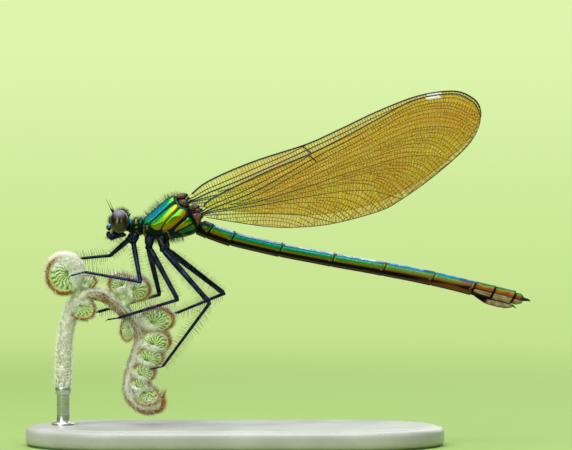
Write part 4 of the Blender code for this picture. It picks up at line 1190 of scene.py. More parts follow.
# Coloured spots: where they are in side view, their reach along and up, their lean and hue.
LOBES = [
    (-11.5, 24.52, 0.14, 0.2, 0.3, 0.86),
    (-10.98, 24.72, 0.15, 0.3, 0.35, 0.66),
    (-10.84, 24.58, 0.12, 0.26, 0.45, 0.24),
    (-10.76, 24.42, 0.08, 0.12, 0.4, 0.08),
    (-10.8, 23.96, 0.15, 0.09, 0.3, 0.1),
    (-10.32, 24.86, 0.1, 0.26, -0.35, 0.86),
    (-10.42, 24.5, 0.1, 0.1, 0.0, 0.76),
]
profile = curve_through(PROTHORAX_PROFILE, 120)
turn = round_turn(88)
rise, swing = np.sin(turn), np.sign(np.cos(turn)) * np.abs(np.cos(turn)) ** 0.85
saddle = body_rings(profile, profile[:, 3:4] * (swing * (1 - 0.2 * np.maximum(0, rise))), rise)
middle = (profile[:, 1] + profile[:, 2]) / 2
flat = saddle[..., (0, 2)].reshape(-1, 2)
hue, black, lift = np.full(len(flat), 0.6), np.full(len(flat), 0.97), np.zeros(len(flat))
for x, z, wide, tall, lean, tint in LOBES:
    dx, dz = flat[:, 0] - x, flat[:, 1] - z
    spread = ((dx - lean * dz) / wide) ** 2 + (dz / tall) ** 2
    inside = 1 - soft_step(spread, 0.7, 1.3)
    hue, black = hue + (tint - hue) * inside, black * (1 - inside)
    lift = lift + 0.07 * np.exp(-spread)
spots = ripple(flat[:, 0] * 3 + flat[:, 1] * 2, 21, 2.2)
tan = 0.5 * near_to(spots, 0.5, 0.2) * (flat[:, 1] < 23.6)
lean = unit(saddle - np.stack([profile[:, 0], 0 * middle, middle], -1)[:, None])
saddle = saddle + lean * lift.reshape(saddle.shape[:2])[..., None]
masks = [value.reshape(saddle.shape[:2]) for value in (hue, black, tan)]
shell_piece("neck_and_prothorax", saddle, masks, thorax_horn, ["prothorax", "neck"])

# The head is a short, wide bar between two big eyes. Its skull is black horn with a dull green
# shine on the crown, a swelling blue upper lip, and a pale patch at the root of each jaw. It is
# one lumpy skin from eye to eye, with the lip, the jaw patches and the horns behind let into it.
EYE_CENTRE, EYE_RADII = (-12.62, 2.0, 24.62), (0.99, 1.15, 1.28)
HEAD_OUTLINE = [
    (-0.72, 0.86), (-0.1, 1.1), (0.5, 0.85), (0.68, 0.1), (0.5, -0.75), (-0.15, -1.08),
    (-0.8, -1.02), (-1.08, -0.55), (-1.02, 0.1),
]
HEAD_SIDES, HEAD_ROWS = 150, 72
SKULL_REACH = 1.38
FEELER_ROOT = (-13.3, 0.5, 25.42)


def blob(centre, radii, lean=0.0, rows=24, sides=36):
    """Rings from left to right round a swelling lump, turned in side view by its lean."""
    angle = np.linspace(0.04, math.pi - 0.04, rows)
    turn = round_turn(sides)
    across = np.sin(angle)[:, None] * radii[0] * np.cos(turn)
    upward = np.sin(angle)[:, None] * radii[2] * np.sin(turn)
    cos, sin = math.cos(math.radians(lean)), math.sin(math.radians(lean))
    sideways = np.repeat(-radii[1] * np.cos(angle)[:, None], sides, axis=1)
    lump = [across * cos - upward * sin, sideways, across * sin + upward * cos]
    return np.stack(lump, -1) + centre


def lump(places, middle, reach):
    """One at the middle of a lump and fading to nothing past its reach."""
    return np.exp(-((np.linalg.norm(places - np.array(middle), axis=-1) / reach) ** 2))


loop = [(x, 0.0, z) for x, z in HEAD_OUTLINE * 3 + HEAD_OUTLINE[:1]]
loop = curve_through(loop, 3 * HEAD_SIDES + 1)
loop = loop[HEAD_SIDES:2 * HEAD_SIDES]
beside = np.linspace(-SKULL_REACH, SKULL_REACH, HEAD_ROWS)
swell = np.sqrt(1 - 0.3 * beside**2)
middle = np.array([EYE_CENTRE[0], 0.0, EYE_CENTRE[2]])
skull = middle + loop[None] * swell[:, None, None]
skull[..., 1] = beside[:, None]
radial = unit(skull - middle - beside[:, None, None] * np.array([0, 1, 0]))
lift = 0.05 * lump(skull, (-13.4, 0.0, 25.3), 0.4) + 0.05 * lump(skull, (-12.1, 0.0, 25.5), 0.5)
for side in (-1, 1):
    socket = (FEELER_ROOT[0], side * FEELER_ROOT[1], FEELER_ROOT[2])
    lift = lift + 0.1 * lump(skull, socket, 0.17) - 0.06 * lump(skull, socket, 0.07)
    lift = lift + 0.07 * lump(skull, (-11.95, side * 0.75, 25.15), 0.3)
level = skull[..., 2]
front = soft_step(-skull[..., 0], 13.2, 13.4)
lift = lift - 0.07 * near_to(level, 24.55, 0.06) * front - 0.06 * near_to(level, 24.2, 0.05) * front
skull = skull + radial * lift[..., None]
crown = soft_step(level, 24.9, 25.3)
hue = 0.62 + 0.1 * ripple(skull[..., 0] * 2 + skull[..., 1], 8, 2.0)
black = 0.93 - 0.33 * crown * (0.5 + 0.5 * ripple(skull[..., 1] * 3 + level, 12, 2.0))
rear = near_to(skull[..., 0], -11.75, 0.16) * soft_step(level, 24.6, 25.0)
hue, black = hue + (0.8 - hue) * rear, black - 0.25 * rear
shapes, marks = [closed_loft(skull)], [(hue, black, 0 * hue)]

lip = blob((-13.79, 0.0, 23.98), (0.38, 0.8, 0.42), -24)
level = lip[..., 2]
tint = np.interp(level, [23.7, 23.86, 23.98, 24.1, 24.3], [0.06, 0.12, 0.62, 0.84, 0.97])
shade = 0.97 * (1 - soft_step(level, 23.84, 23.95)) * (1 - lump(lip, (-13.95, -0.3, 23.9), 0.16))
shade = np.maximum(shade, near_to(lip[..., 0], -14.12, 0.07) * 0.8)
shapes.append(closed_loft(lip))
# The pale band over the top of the lip is a painted highlight.
marks.append((tint, shade, 0.75 * soft_step(level, 24.26, 24.34)))

shield = blob((-13.5, 0.0, 24.42), (0.3, 0.86, 0.22), -10)
shapes.append(closed_loft(shield))
plain = np.ones(shield.shape[:2])
marks.append((0.8 * plain, 0.85 * plain, 0.0 * plain))

for side in (-1, 1):
    patch = blob((-13.52, side * 0.62, 23.55), (0.19, 0.3, 0.36), -14)
    shapes.append(closed_loft(patch))
    green = 0.5 * lump(patch, (-13.45, side * 0.9, 23.3), 0.16)
    marks.append((0.5 + 0 * green, green, 1 - green))
    share = np.linspace(0, 1, 12)
    rise = 25.12 + 0.42 * share - 0.1 * share**2
    path = np.stack([-11.78 + 0.24 * share, side * (0.95 - 0.12 * share), rise], -1)
    horn = tube(path, 0.13 - 0.09 * share, 16)
    shapes.append(closed_loft(horn))
    plain = np.ones(horn.shape[:2])
    marks.append((0.75 * plain, 0.93 * plain, 0.25 * near_to(horn[..., 2], 25.35, 0.05)))

points, faces = joined(shapes)
masks = {}
for k, label in enumerate(("hue", "black", "pale")):
    values = [mark[k] for mark in marks]
    values = [np.concatenate([each.ravel(), [each[0, 0], each[-1, 0]]]) for each in values]
    masks[label] = np.concatenate(values)
head = new_piece("head_skin", points, faces, thorax_horn, masks=masks)
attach(head, "root")
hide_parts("head")

# The eyes are domes of thousands of tiny lenses under a clear, wet-looking skin: dark brown in the
# middle with darker upright bars, and olive below, with a thin pale rim. The grey over the top is a
# painted reflection of the sky, and two pale upright streaks in the middle are painted reflections
# as well. Three small glassy simple eyes sit on the crown between them, with a share of the same
# painted sky reflection.
eye_finish, tree, shader = new_finish(
    "eye_skin", Roughness=0.4, Coat_Weight=0.32, Coat_Roughness=0.06, Specular_IOR_Level=0.1
)
cloud = noise(tree, 1800.0, 3.0)
tone = blend_colours(tree, eased(tree, cloud, 0.35, 0.65), (0.016, 0.009, 0.004), (0.045, 0.022, 0.008))
# Two of these colours are painted reflections: the grey over the top of each eye is the sky, and the
# pale tan streaks in its middle are reflections too.
for mask, colour in (
    ("olive", (0.055, 0.054, 0.006)),
    ("painted_sky_reflection", (0.16, 0.16, 0.2)),
    ("bar", (0.002, 0.0015, 0.001)),
    ("painted_reflection_streaks", (0.4, 0.33, 0.27)),
    ("rim", (0.26, 0.26, 0.2)),
):
    tone = blend_colours(tree, mask_value(tree, mask), tone, colour)
feed(tree, shader, Base_Color=tone)
roughen(tree, shader, lens_pattern(tree, 26000.0), 0.12, 0.01)
for side, label in ((-1, "left"), (1, "right")):
    centre = np.array([EYE_CENTRE[0], side * EYE_CENTRE[1], EYE_CENTRE[2]])
    dome = blob(centre, EYE_RADII, rows=100, sides=130)
    u, w = (dome[..., 0] - centre[0]) / EYE_RADII[0], (dome[..., 2] - centre[2]) / EYE_RADII[2]
    inner = side * (dome[..., 1] - centre[1]) / EYE_RADII[1]
    flank = soft_step(np.abs(u), 0.42, 0.7)
    olive = 0.85 * (1 - soft_step(w, -0.4, -0.1)) * (1 - 0.7 * flank)
    front_bar = near_to(u, 0.07, 0.1) * near_to(w, 0.0, 0.24)
    side_bars = near_to(u, -0.62, 0.2) * near_to(w, 0.05, 0.45)
    side_bars = side_bars + 0.75 * near_to(u, 0.66, 0.17) * near_to(w, 0.1, 0.5)
    painted_reflection_streaks = 0.9 * near_to(u, -0.18 + 0.12 * w, 0.075) * near_to(w, 0.0, 0.19)
    edge = 0.5 * soft_step(u**2 + w**2, 0.9, 0.97) * (1 - soft_step(w, 0.3, 0.6))
    # The top mask paints a reflection of the sky, and the streak mask paints pale reflections.
    masks = {
        "olive": olive * soft_step(w, -1.0, -0.8),
        "painted_sky_reflection": soft_step(w, 0.1, 0.75) * (1 - flank * (1 - soft_step(w, 0.45, 0.9))),
        "bar": np.maximum(front_bar, side_bars),
        "painted_reflection_streaks": painted_reflection_streaks + 0.4 * near_to(u, 0.28, 0.075) * near_to(w, 0.05, 0.17),
        "rim": 0.75 * near_to(inner, -0.6, 0.035) + edge,
    }
    points, faces = closed_loft(dome)
    masks = {key: np.concatenate([value.ravel(), [0, 0]]) for key, value in masks.items()}
    eye = new_piece(f"eye_{label}_dome", points, faces, eye_finish, masks=masks)
    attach(eye, "root")
    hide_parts(f"eye_{label}")

shapes = []
for x, y, z in ((-12.98, 0.0, 25.6), (-12.66, -0.28, 25.66), (-12.66, 0.28, 25.66)):
    shapes.append(closed_loft(blob((x, y, z), (0.11, 0.11, 0.1), rows=14, sides=20)))
points, faces = joined(shapes)
# The simple eyes carry some of the same painted sky reflection.
masks = {"painted_sky_reflection": np.full(len(points), 0.4)}
beads = new_piece("simple_eyes", points, faces, eye_finish, masks=masks)
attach(beads, "root")

# Below the face hang the black mouthparts: a broad lower lip folded up under the head, the tips
# of the jaws, and a pair of short feelers. The antennae are two thick short joints and then a
# bristle of thin ones that tapers to nothing.
MOUTH_PROFILE = [
    (-14.16, 23.02, 23.28, 0.3), (-14.0, 22.82, 23.4, 0.55), (-13.72, 22.56, 23.45, 0.74),
    (-13.3, 22.6, 23.5, 0.84), (-12.9, 22.74, 23.5, 0.8), (-12.5, 22.84, 23.5, 0.64),
    (-12.15, 22.92, 23.32, 0.44), (-11.95, 23.04, 23.2, 0.2),
]
profile = curve_through(MOUTH_PROFILE, 70)
turn = round_turn(72)
folds = 1 + 0.07 * np.sin(turn * 5)[None] * np.sin(profile[:, :1] * 6)
folds = folds - 0.16 * near_to(np.sin(turn), -1.0, 0.02)[None]
sideways = profile[:, 3:4] * np.cos(turn)[None] * folds
mouth_rings = body_rings(profile, sideways, np.sin(turn)[None] * folds)
shapes = [closed_loft(mouth_rings)]
for side in (-1, 1):
    for root, tip, thick in (
        ((-13.2, side * 0.66, 23.3), (-14.12, side * 0.34, 23.4), 0.13),
        ((-13.1, side * 0.78, 23.0), (-14.02, side * 0.5, 22.78), 0.1),
        ((-12.9, side * 0.5, 22.85), (-13.66, side * 0.62, 22.52), 0.1),
    ):
        bend = (np.array(root) + tip) / 2 + np.array([0.0, side * 0.12, 0.06])
        path = curve_through([root, bend, tip], 14)
        thick = thick * np.interp(np.linspace(0, 1, 14), [0, 0.8, 1], [1, 0.8, 0.2])
        shapes.append(closed_loft(tube(path, thick, 14)))
points, faces = joined(shapes)
spots = ripple(points[:, 0] * 3 + points[:, 2] * 2, 31, 3.0)
tan = 0.16 * near_to(spots, 0.6, 0.15) * (points[:, 2] > 22.9)
mouth = new_piece("mouthparts_skin", points, faces, black_horn, masks={"pale": tan})
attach(mouth, "root")
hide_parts("mouthparts")

for side, label in ((-1, "left"), (1, "right")):
    shapes = []
    root = np.array([FEELER_ROOT[0] + 0.04 * side, side * FEELER_ROOT[1], FEELER_ROOT[2]])
    reach, rise = (0.86, 1.66) if side < 0 else (0.62, 1.5)
    for start, end, radii in (
        (0.0, 0.14, (0.1, 0.12, 0.1)),
        (0.14, 0.38, (0.07, 0.09, 0.06)),
        (0.38, 0.56, (0.035, 0.04, 0.03)),
        (0.56, 0.71, (0.026, 0.03, 0.022)),
        (0.71, 0.86, (0.02, 0.024, 0.016)),
        (0.86, 1.0, (0.015, 0.012, 0.006)),
    ):
        share = np.linspace(start, end, 9)
        aside = side * (0.1 * share + 0.16 * share**2)
        path = root + np.stack([-reach * share, aside, rise * share + 0.06 * share**2], -1)
        thick = np.interp(np.linspace(0, 1, 9), [0, 0.5, 1], radii)
        thick = thick * np.interp(np.linspace(0, 1, 9), [0, 0.12, 0.9, 1], [0.75, 1, 1, 0.8])
        shapes.append(closed_loft(tube(path, thick, 14)))
    points, faces = joined(shapes)
    masks = {"pale": np.zeros(len(points))}
    feeler = new_piece(f"antenna_{label}_joints", points, faces, black_horn, masks=masks)
    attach(feeler, "root")
    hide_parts(f"antenna_{label}")

# Each leg is a chain of hard black tubes with a blue sheen: the short thick hip, a small joint,
# thigh, shin and three small foot joints with two hooked claws. The tubes have low ridges along
# them and knobs at the joints, and a few soft beige folds show at the hips.

# Hip inside the body, its lower joint, the knee, the ankle and the tip of the claws.
LEGS = {
    "foreleg_left": [(-10.9, -0.55, 23.3), (-11.15, -0.95, 22.35), (-10.25, -3.3, 18.0),
                     (-16.4, -1.75, 19.05), (-18.15, -1.45, 18.6)],
    "midleg_left": [(-9.3, -0.85, 23.2), (-9.4, -1.15, 21.8), (-6.2, -2.8, 16.05),
                    (-12.8, -1.05, 14.0), (-14.1, -0.8, 13.8)],
    "hindleg_left": [(-8.1, -0.9, 23.2), (-7.95, -1.2, 21.6), (-2.7, -3.5, 15.7),
                     (-7.9, -1.55, 8.7), (-9.4, -1.15, 8.35)],
    "foreleg_right": [(-10.95, 0.6, 23.3), (-11.8, 1.05, 22.55), (-13.95, 4.2, 20.8),
                      (-19.2, 1.75, 20.3), (-20.95, 0.9, 19.3)],
    "midleg_right": [(-9.45, 0.85, 23.2), (-9.6, 1.2, 21.8), (-8.45, 3.9, 16.45),
                     (-15.2, 1.35, 14.6), (-17.6, 1.15, 13.9)],
    "hindleg_right": [(-8.0, 0.9, 23.2), (-7.55, 1.2, 21.5), (-1.25, 3.2, 16.6),
                      (-9.35, 1.45, 13.3), (-11.3, 1.05, 12.6)],
}
THIGH_RADIUS = {"foreleg": 0.245, "midleg": 0.265, "hindleg": 0.29}
THIGH_SWELL = np.array([1.1, 1.12, 1.0, 0.92, 0.86])
FOOT_JOINTS = (0.0, 0.2, 0.45, 0.88)
LEG_SIDES = 32
BRISTLE_GAP, BRISTLE_WIDTH = 0.24, 0.034


def limb(start, end, radii, ridges=0.05, rows=40, sides=LEG_SIDES):
    """A tube between two joints with low ridges along it, rounded at both ends."""
    share = 0.5 - 0.5 * np.cos(math.pi * np.linspace(0.02, 0.98, rows))
    path = start + np.outer(share, end - start)
    length = np.linalg.norm(end - start)
    thick = np.interp(share, np.linspace(0, 1, len(radii)), radii)
    near_end = np.clip(np.minimum(share, 1 - share) * length / max(radii), 0, 1)
    thick = thick * np.sqrt(1 - (1 - near_end) ** 2 * 0.8)
    turn = round_turn(sides)
    return tube(path, thick[:, None] * (1 + ridges * np.cos(4 * turn))[None], sides)


def bristle_rows(start, end, radius, length, tile, rng):
    """Roots, leans and baking patches of the bristles in rows along a limb."""
    run = np.linalg.norm(end - start)
    ahead = (end - start) / run
    sideways = unit(np.cross(ahead, np.array([0.0, 1.0, 0.0])))
    toward = np.cross(sideways, ahead)
    roots, leans, lengths, patches = [], [], [], []
    for row, angle in enumerate((0.0, math.pi, -1.2, 1.3)):
        spacing, longer = (1.0, 1.0) if row < 2 else (3.0, 0.6)
        gap = BRISTLE_GAP * spacing
        at = np.arange(0.3, run - 0.15, gap)
        at = at + rng.uniform(-0.18, 0.18, len(at)) * gap
        lean_angle = angle + rng.normal(0, 0.1, len(at))
        out = np.cos(lean_angle)[:, None] * sideways + np.sin(lean_angle)[:, None] * toward
        roots.append(start + at[:, None] * ahead + out * radius * 0.9)
        leans.append(unit(out + ahead * rng.uniform(0.12, 0.4, (len(at), 1))))
        fade = np.interp(at / run, [0, 0.12, 0.85, 1], [0.5, 1, 0.9, 0.6])
        lengths.append(length * fade * rng.uniform(0.85, 1.1, len(at)) * longer)
        u = tile[0] + (tile[2] - tile[0]) * at / run
        v = tile[1] + (tile[3] - tile[1]) * (row + 0.3) / 4
        patches.append(np.stack([u, np.full(len(at), v)], -1))
    return [np.concatenate(column) for column in (roots, leans, lengths, patches)]


rng = np.random.default_rng(77)
bristle_finish = hair_finish("leg_bristle", (0.008, 0.009, 0.012), (0.04, 0.035, 0.03), 0.45)
for number, (name, (hip, joint, knee, ankle, toe)) in enumerate(LEGS.items()):
    hip, joint, knee, ankle, toe = (np.array(place) for place in (hip, joint, knee, ankle, toe))
    thigh = THIGH_RADIUS[name.split("_")[0]]
    to_knee, to_ankle, to_toe = unit(knee - joint), unit(ankle - knee), unit(toe - ankle)
    shapes, pale = [], []
    for rings, beige in (
        (limb(hip, joint + to_knee * 0.1, (0.5, 0.5, 0.46, 0.4, 0.3), ridges=0.03), 0.5),
        (limb(joint - to_knee * 0.28, joint + to_knee * 0.42, (0.3, 0.36, 0.3)), 0.2),
        (limb(joint + to_knee * 0.2, knee, thigh * THIGH_SWELL), 0.0),
        (blob(knee + to_ankle * 0.05, (0.21, 0.2, 0.21), rows=14, sides=20), 0.25),
        (limb(knee, ankle, (0.17, 0.155, 0.145, 0.14, 0.15), ridges=0.08), 0.0),
    ):
        shapes.append(closed_loft(rings))
        places = shapes[-1][0]
        spots = near_to(ripple(places[:, 0] * 4 + places[:, 2] * 3, number + 3, 2.1), 0.75, 0.22)
        pale.append(beige * spots)
    foot = [ankle + (toe - ankle) * share for share in FOOT_JOINTS]
    for near, far in zip(foot, foot[1:]):
        rings = limb(near - to_toe * 0.04, far, (0.08, 0.085, 0.1), rows=16, sides=18)
        shapes.append(closed_loft(rings))
        pale.append(np.zeros(len(shapes[-1][0])))
    for spread in (-1, 1):
        share = np.linspace(0, 1, 16)
        claw = foot[-1] + np.outer(share, to_toe * np.linalg.norm(toe - foot[-1]) * 1.5)
        claw[:, 1] += spread * 0.16 * np.sin(share * 1.9)
        claw[:, 2] -= 0.28 * share**2.2
        shapes.append(closed_loft(tube(claw, 0.06 - 0.05 * share, 12)))
        pale.append(np.zeros(len(shapes[-1][0])))
    points, faces = joined(shapes)
    masks = {"pale": np.concatenate(pale)}
    leg = new_piece(f"{name}_skin", points, faces, black_horn, masks=masks)
    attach(leg, "root")
    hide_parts(f"{name}_femur", f"{name}_tibia")

    column, line = number % 3, number // 3
    tile = (column / 3, line / 2, (column + 0.95) / 3, (line + 0.45) / 2)
    high_tile = (tile[0], tile[1] + 0.24, tile[2], tile[3] + 0.24)
    low_tile = (tile[0], tile[1], tile[2], tile[3] - 0.02)
    sets = [
        bristle_rows(joint + to_knee * 0.4, knee, thigh, 0.68, low_tile, rng),
        bristle_rows(knee, ankle, 0.14, 1.05, high_tile, rng),
    ]
    roots, leans, lengths, patches = (np.concatenate(column) for column in zip(*sets))
    bend = leans * 0 + np.array([0.0, 0.0, -0.04]) + 0.04 * rng.normal(size=leans.shape)
    bristles = spikes(
        f"{name}_bristles", roots, leans, bend, lengths, BRISTLE_WIDTH, bristle_finish, patches
    )

# Fine dark hairs stand on the crown and face, along the back of the thorax and under it. They
# are thin tapered spikes, thickest on the crown behind the eyes.
body_hair = hair_finish("body_hair", (0.012, 0.014, 0.008), (0.08, 0.09, 0.03), 0.5)
back = near_to(thorax[..., 1], 0.0, 0.3) * soft_step(thorax[..., 2], 24.8, 25.2)
belly = 1 - soft_step(thorax[..., 2], 22.75, 23.0)
crown = lump(skull, (-12.05, 0.0, 25.6), 0.62) + 0.5 * lump(skull, (-12.7, 0.0, 25.8), 0.7)
face = near_to(skull[..., 0], -13.75, 0.3) * near_to(skull[..., 2], 24.75, 0.6)
face = face * near_to(skull[..., 1], 0.0, 1.0)
chin = 1 - soft_step(mouth_rings[..., 2], 22.9, 23.2)
saddle_top = soft_step(saddle[..., 2], 24.4, 24.9)
tufts = [
    (skull, crown, 420, 0.35, 0.75),
    (skull, face, 260, 0.3, 0.6),
    (thorax, back, 330, 0.6, 1.0),
    (thorax, belly, 420, 0.45, 0.85),
    (mouth_rings, chin, 110, 0.35, 0.7),
    (saddle, saddle_top, 120, 0.3, 0.6),
]
sets = []
for number, (rings, weight, count, low, high) in enumerate(tufts):
    tile = (number / 6, 0.0, (number + 0.95) / 6, 1.0)
    place, out, _, patches = roots_on(rings, count, rng, 0.002 + weight**2, tile)
    lean = unit(out + 0.35 * rng.normal(size=out.shape))
    sets.append((place, lean, rng.uniform(low, high, count), patches))
roots, lean, lengths, patches = (np.concatenate(column) for column in zip(*sets))
bend = 0.12 * rng.normal(size=lean.shape)
fuzz = spikes("body_hairs", roots, lean, bend, lengths, 0.012, body_hair, patches)

# The four wings are clear amber skin, no thicker than paper, stretched over a net of hollow veins
# and pleated along the main ones. Forewings stand inside, hindwings outside, closed over the
# back. Their outlines and main veins are the solids' own.

# Root in X and Z, rise, span, distance from the middle, then the two edges as distance from the
# root and depth from the axis.
WINGS = {
    "forewing": {
        "root": (-5.0, 26.9),
        "rise": math.radians(16.3),
        "span": 33.5,
        "plane": 0.56,
        "lead": [
            (0.0, 0.42), (2.6, 1.45), (7.8, 2.12), (14.0, 2.32), (17.9, 2.85), (22.6, 3.6),
            (27.3, 3.98), (31.2, 3.4), (33.0, 2.1),
        ],
        "trail": [
            (33.0, -0.6), (30.9, -2.35), (26.4, -4.5), (21.0, -5.85), (16.4, -5.9), (12.1, -5.2),
            (7.7, -3.7), (4.2, -2.4), (0.9, -0.95), (0.0, -0.42),
        ],
    },
    "hindwing": {
        "root": (-3.6, 25.5),
        "rise": math.radians(19.1),
        "span": 32.3,
        "plane": 1.52,
        "lead": [
            (0.0, 0.42), (1.8, 1.2), (8.1, 1.96), (13.4, 2.28), (17.9, 2.85), (21.6, 3.45),
            (26.0, 4.1), (30.2, 3.4), (31.9, 2.0),
        ],
        "trail": [
            (31.95, -0.7), (30.0, -2.5), (25.6, -4.4), (20.7, -5.85), (18.0, -6.15), (13.0, -5.75),
            (9.1, -4.8), (6.2, -3.7), (2.8, -1.95), (0.0, -0.42),
        ],
    },
}
TIP_DEPTH = 0.75
WING_CLOSING = 0.08

# Each main vein: marks as share of the span and of the depth from the leading edge, then how far
# its pleat stands out of the wing's plane, its radius at the root and where its black ends.
VEINS = {
    "subcosta": ([(0.0, 0.3), (0.02, 0.28), (0.2, 0.15), (0.36, 0.05),
                  (0.415, 0.01)], -0.09, 0.06, 0.5),
    "radius": ([(0.0, 0.5), (0.02, 0.48), (0.08, 0.37), (0.2, 0.25), (0.4, 0.085), (0.55, 0.06),
                (0.75, 0.05), (0.92, 0.07), (0.98, 0.17)], 0.1, 0.1, 0.9),
    "radial_sector": ([(0.1, 0.44), (0.2, 0.34), (0.4, 0.155), (0.6, 0.125), (0.8, 0.13),
                       (0.92, 0.24), (0.985, 0.6)], -0.07, 0.05, 0.42),
    "second_sector": ([(0.12, 0.46), (0.25, 0.4), (0.42, 0.29), (0.6, 0.27), (0.78, 0.35),
                       (0.9, 0.58), (0.955, 1.0)], 0.07, 0.045, 0.3),
    "media": ([(0.0, 0.62), (0.05, 0.55), (0.13, 0.5), (0.3, 0.43), (0.5, 0.42), (0.68, 0.53),
               (0.8, 0.76), (0.86, 1.0)], 0.06, 0.075, 0.3),
    "cubitus": ([(0.0, 0.7), (0.06, 0.62), (0.2, 0.55), (0.4, 0.57), (0.56, 0.72),
                 (0.66, 1.0)], -0.06, 0.06, 0.22),
    "anal": ([(0.0, 0.82), (0.05, 0.76), (0.16, 0.72), (0.3, 0.79), (0.42, 1.0)], 0.05, 0.055, 0.2),
}
ROW_GAP, ROW_GAP_AT_TIP = 0.5, 0.4
ROW_START, ROW_STOP = 0.93, 0.5
SHORTEST_ROW = 1.2
CELL_PITCH = 0.31
ROW_RADIUS, CROSS_RADIUS = 0.033, 0.021
EDGE_TONE, ROW_TONE = 0.05, 0.78
TRACE_STEP = 0.16
TRAIL_DIP = math.radians(42)
STIGMA_START, STIGMA_END, STIGMA_DEPTH = 0.84, 0.888, 0.42


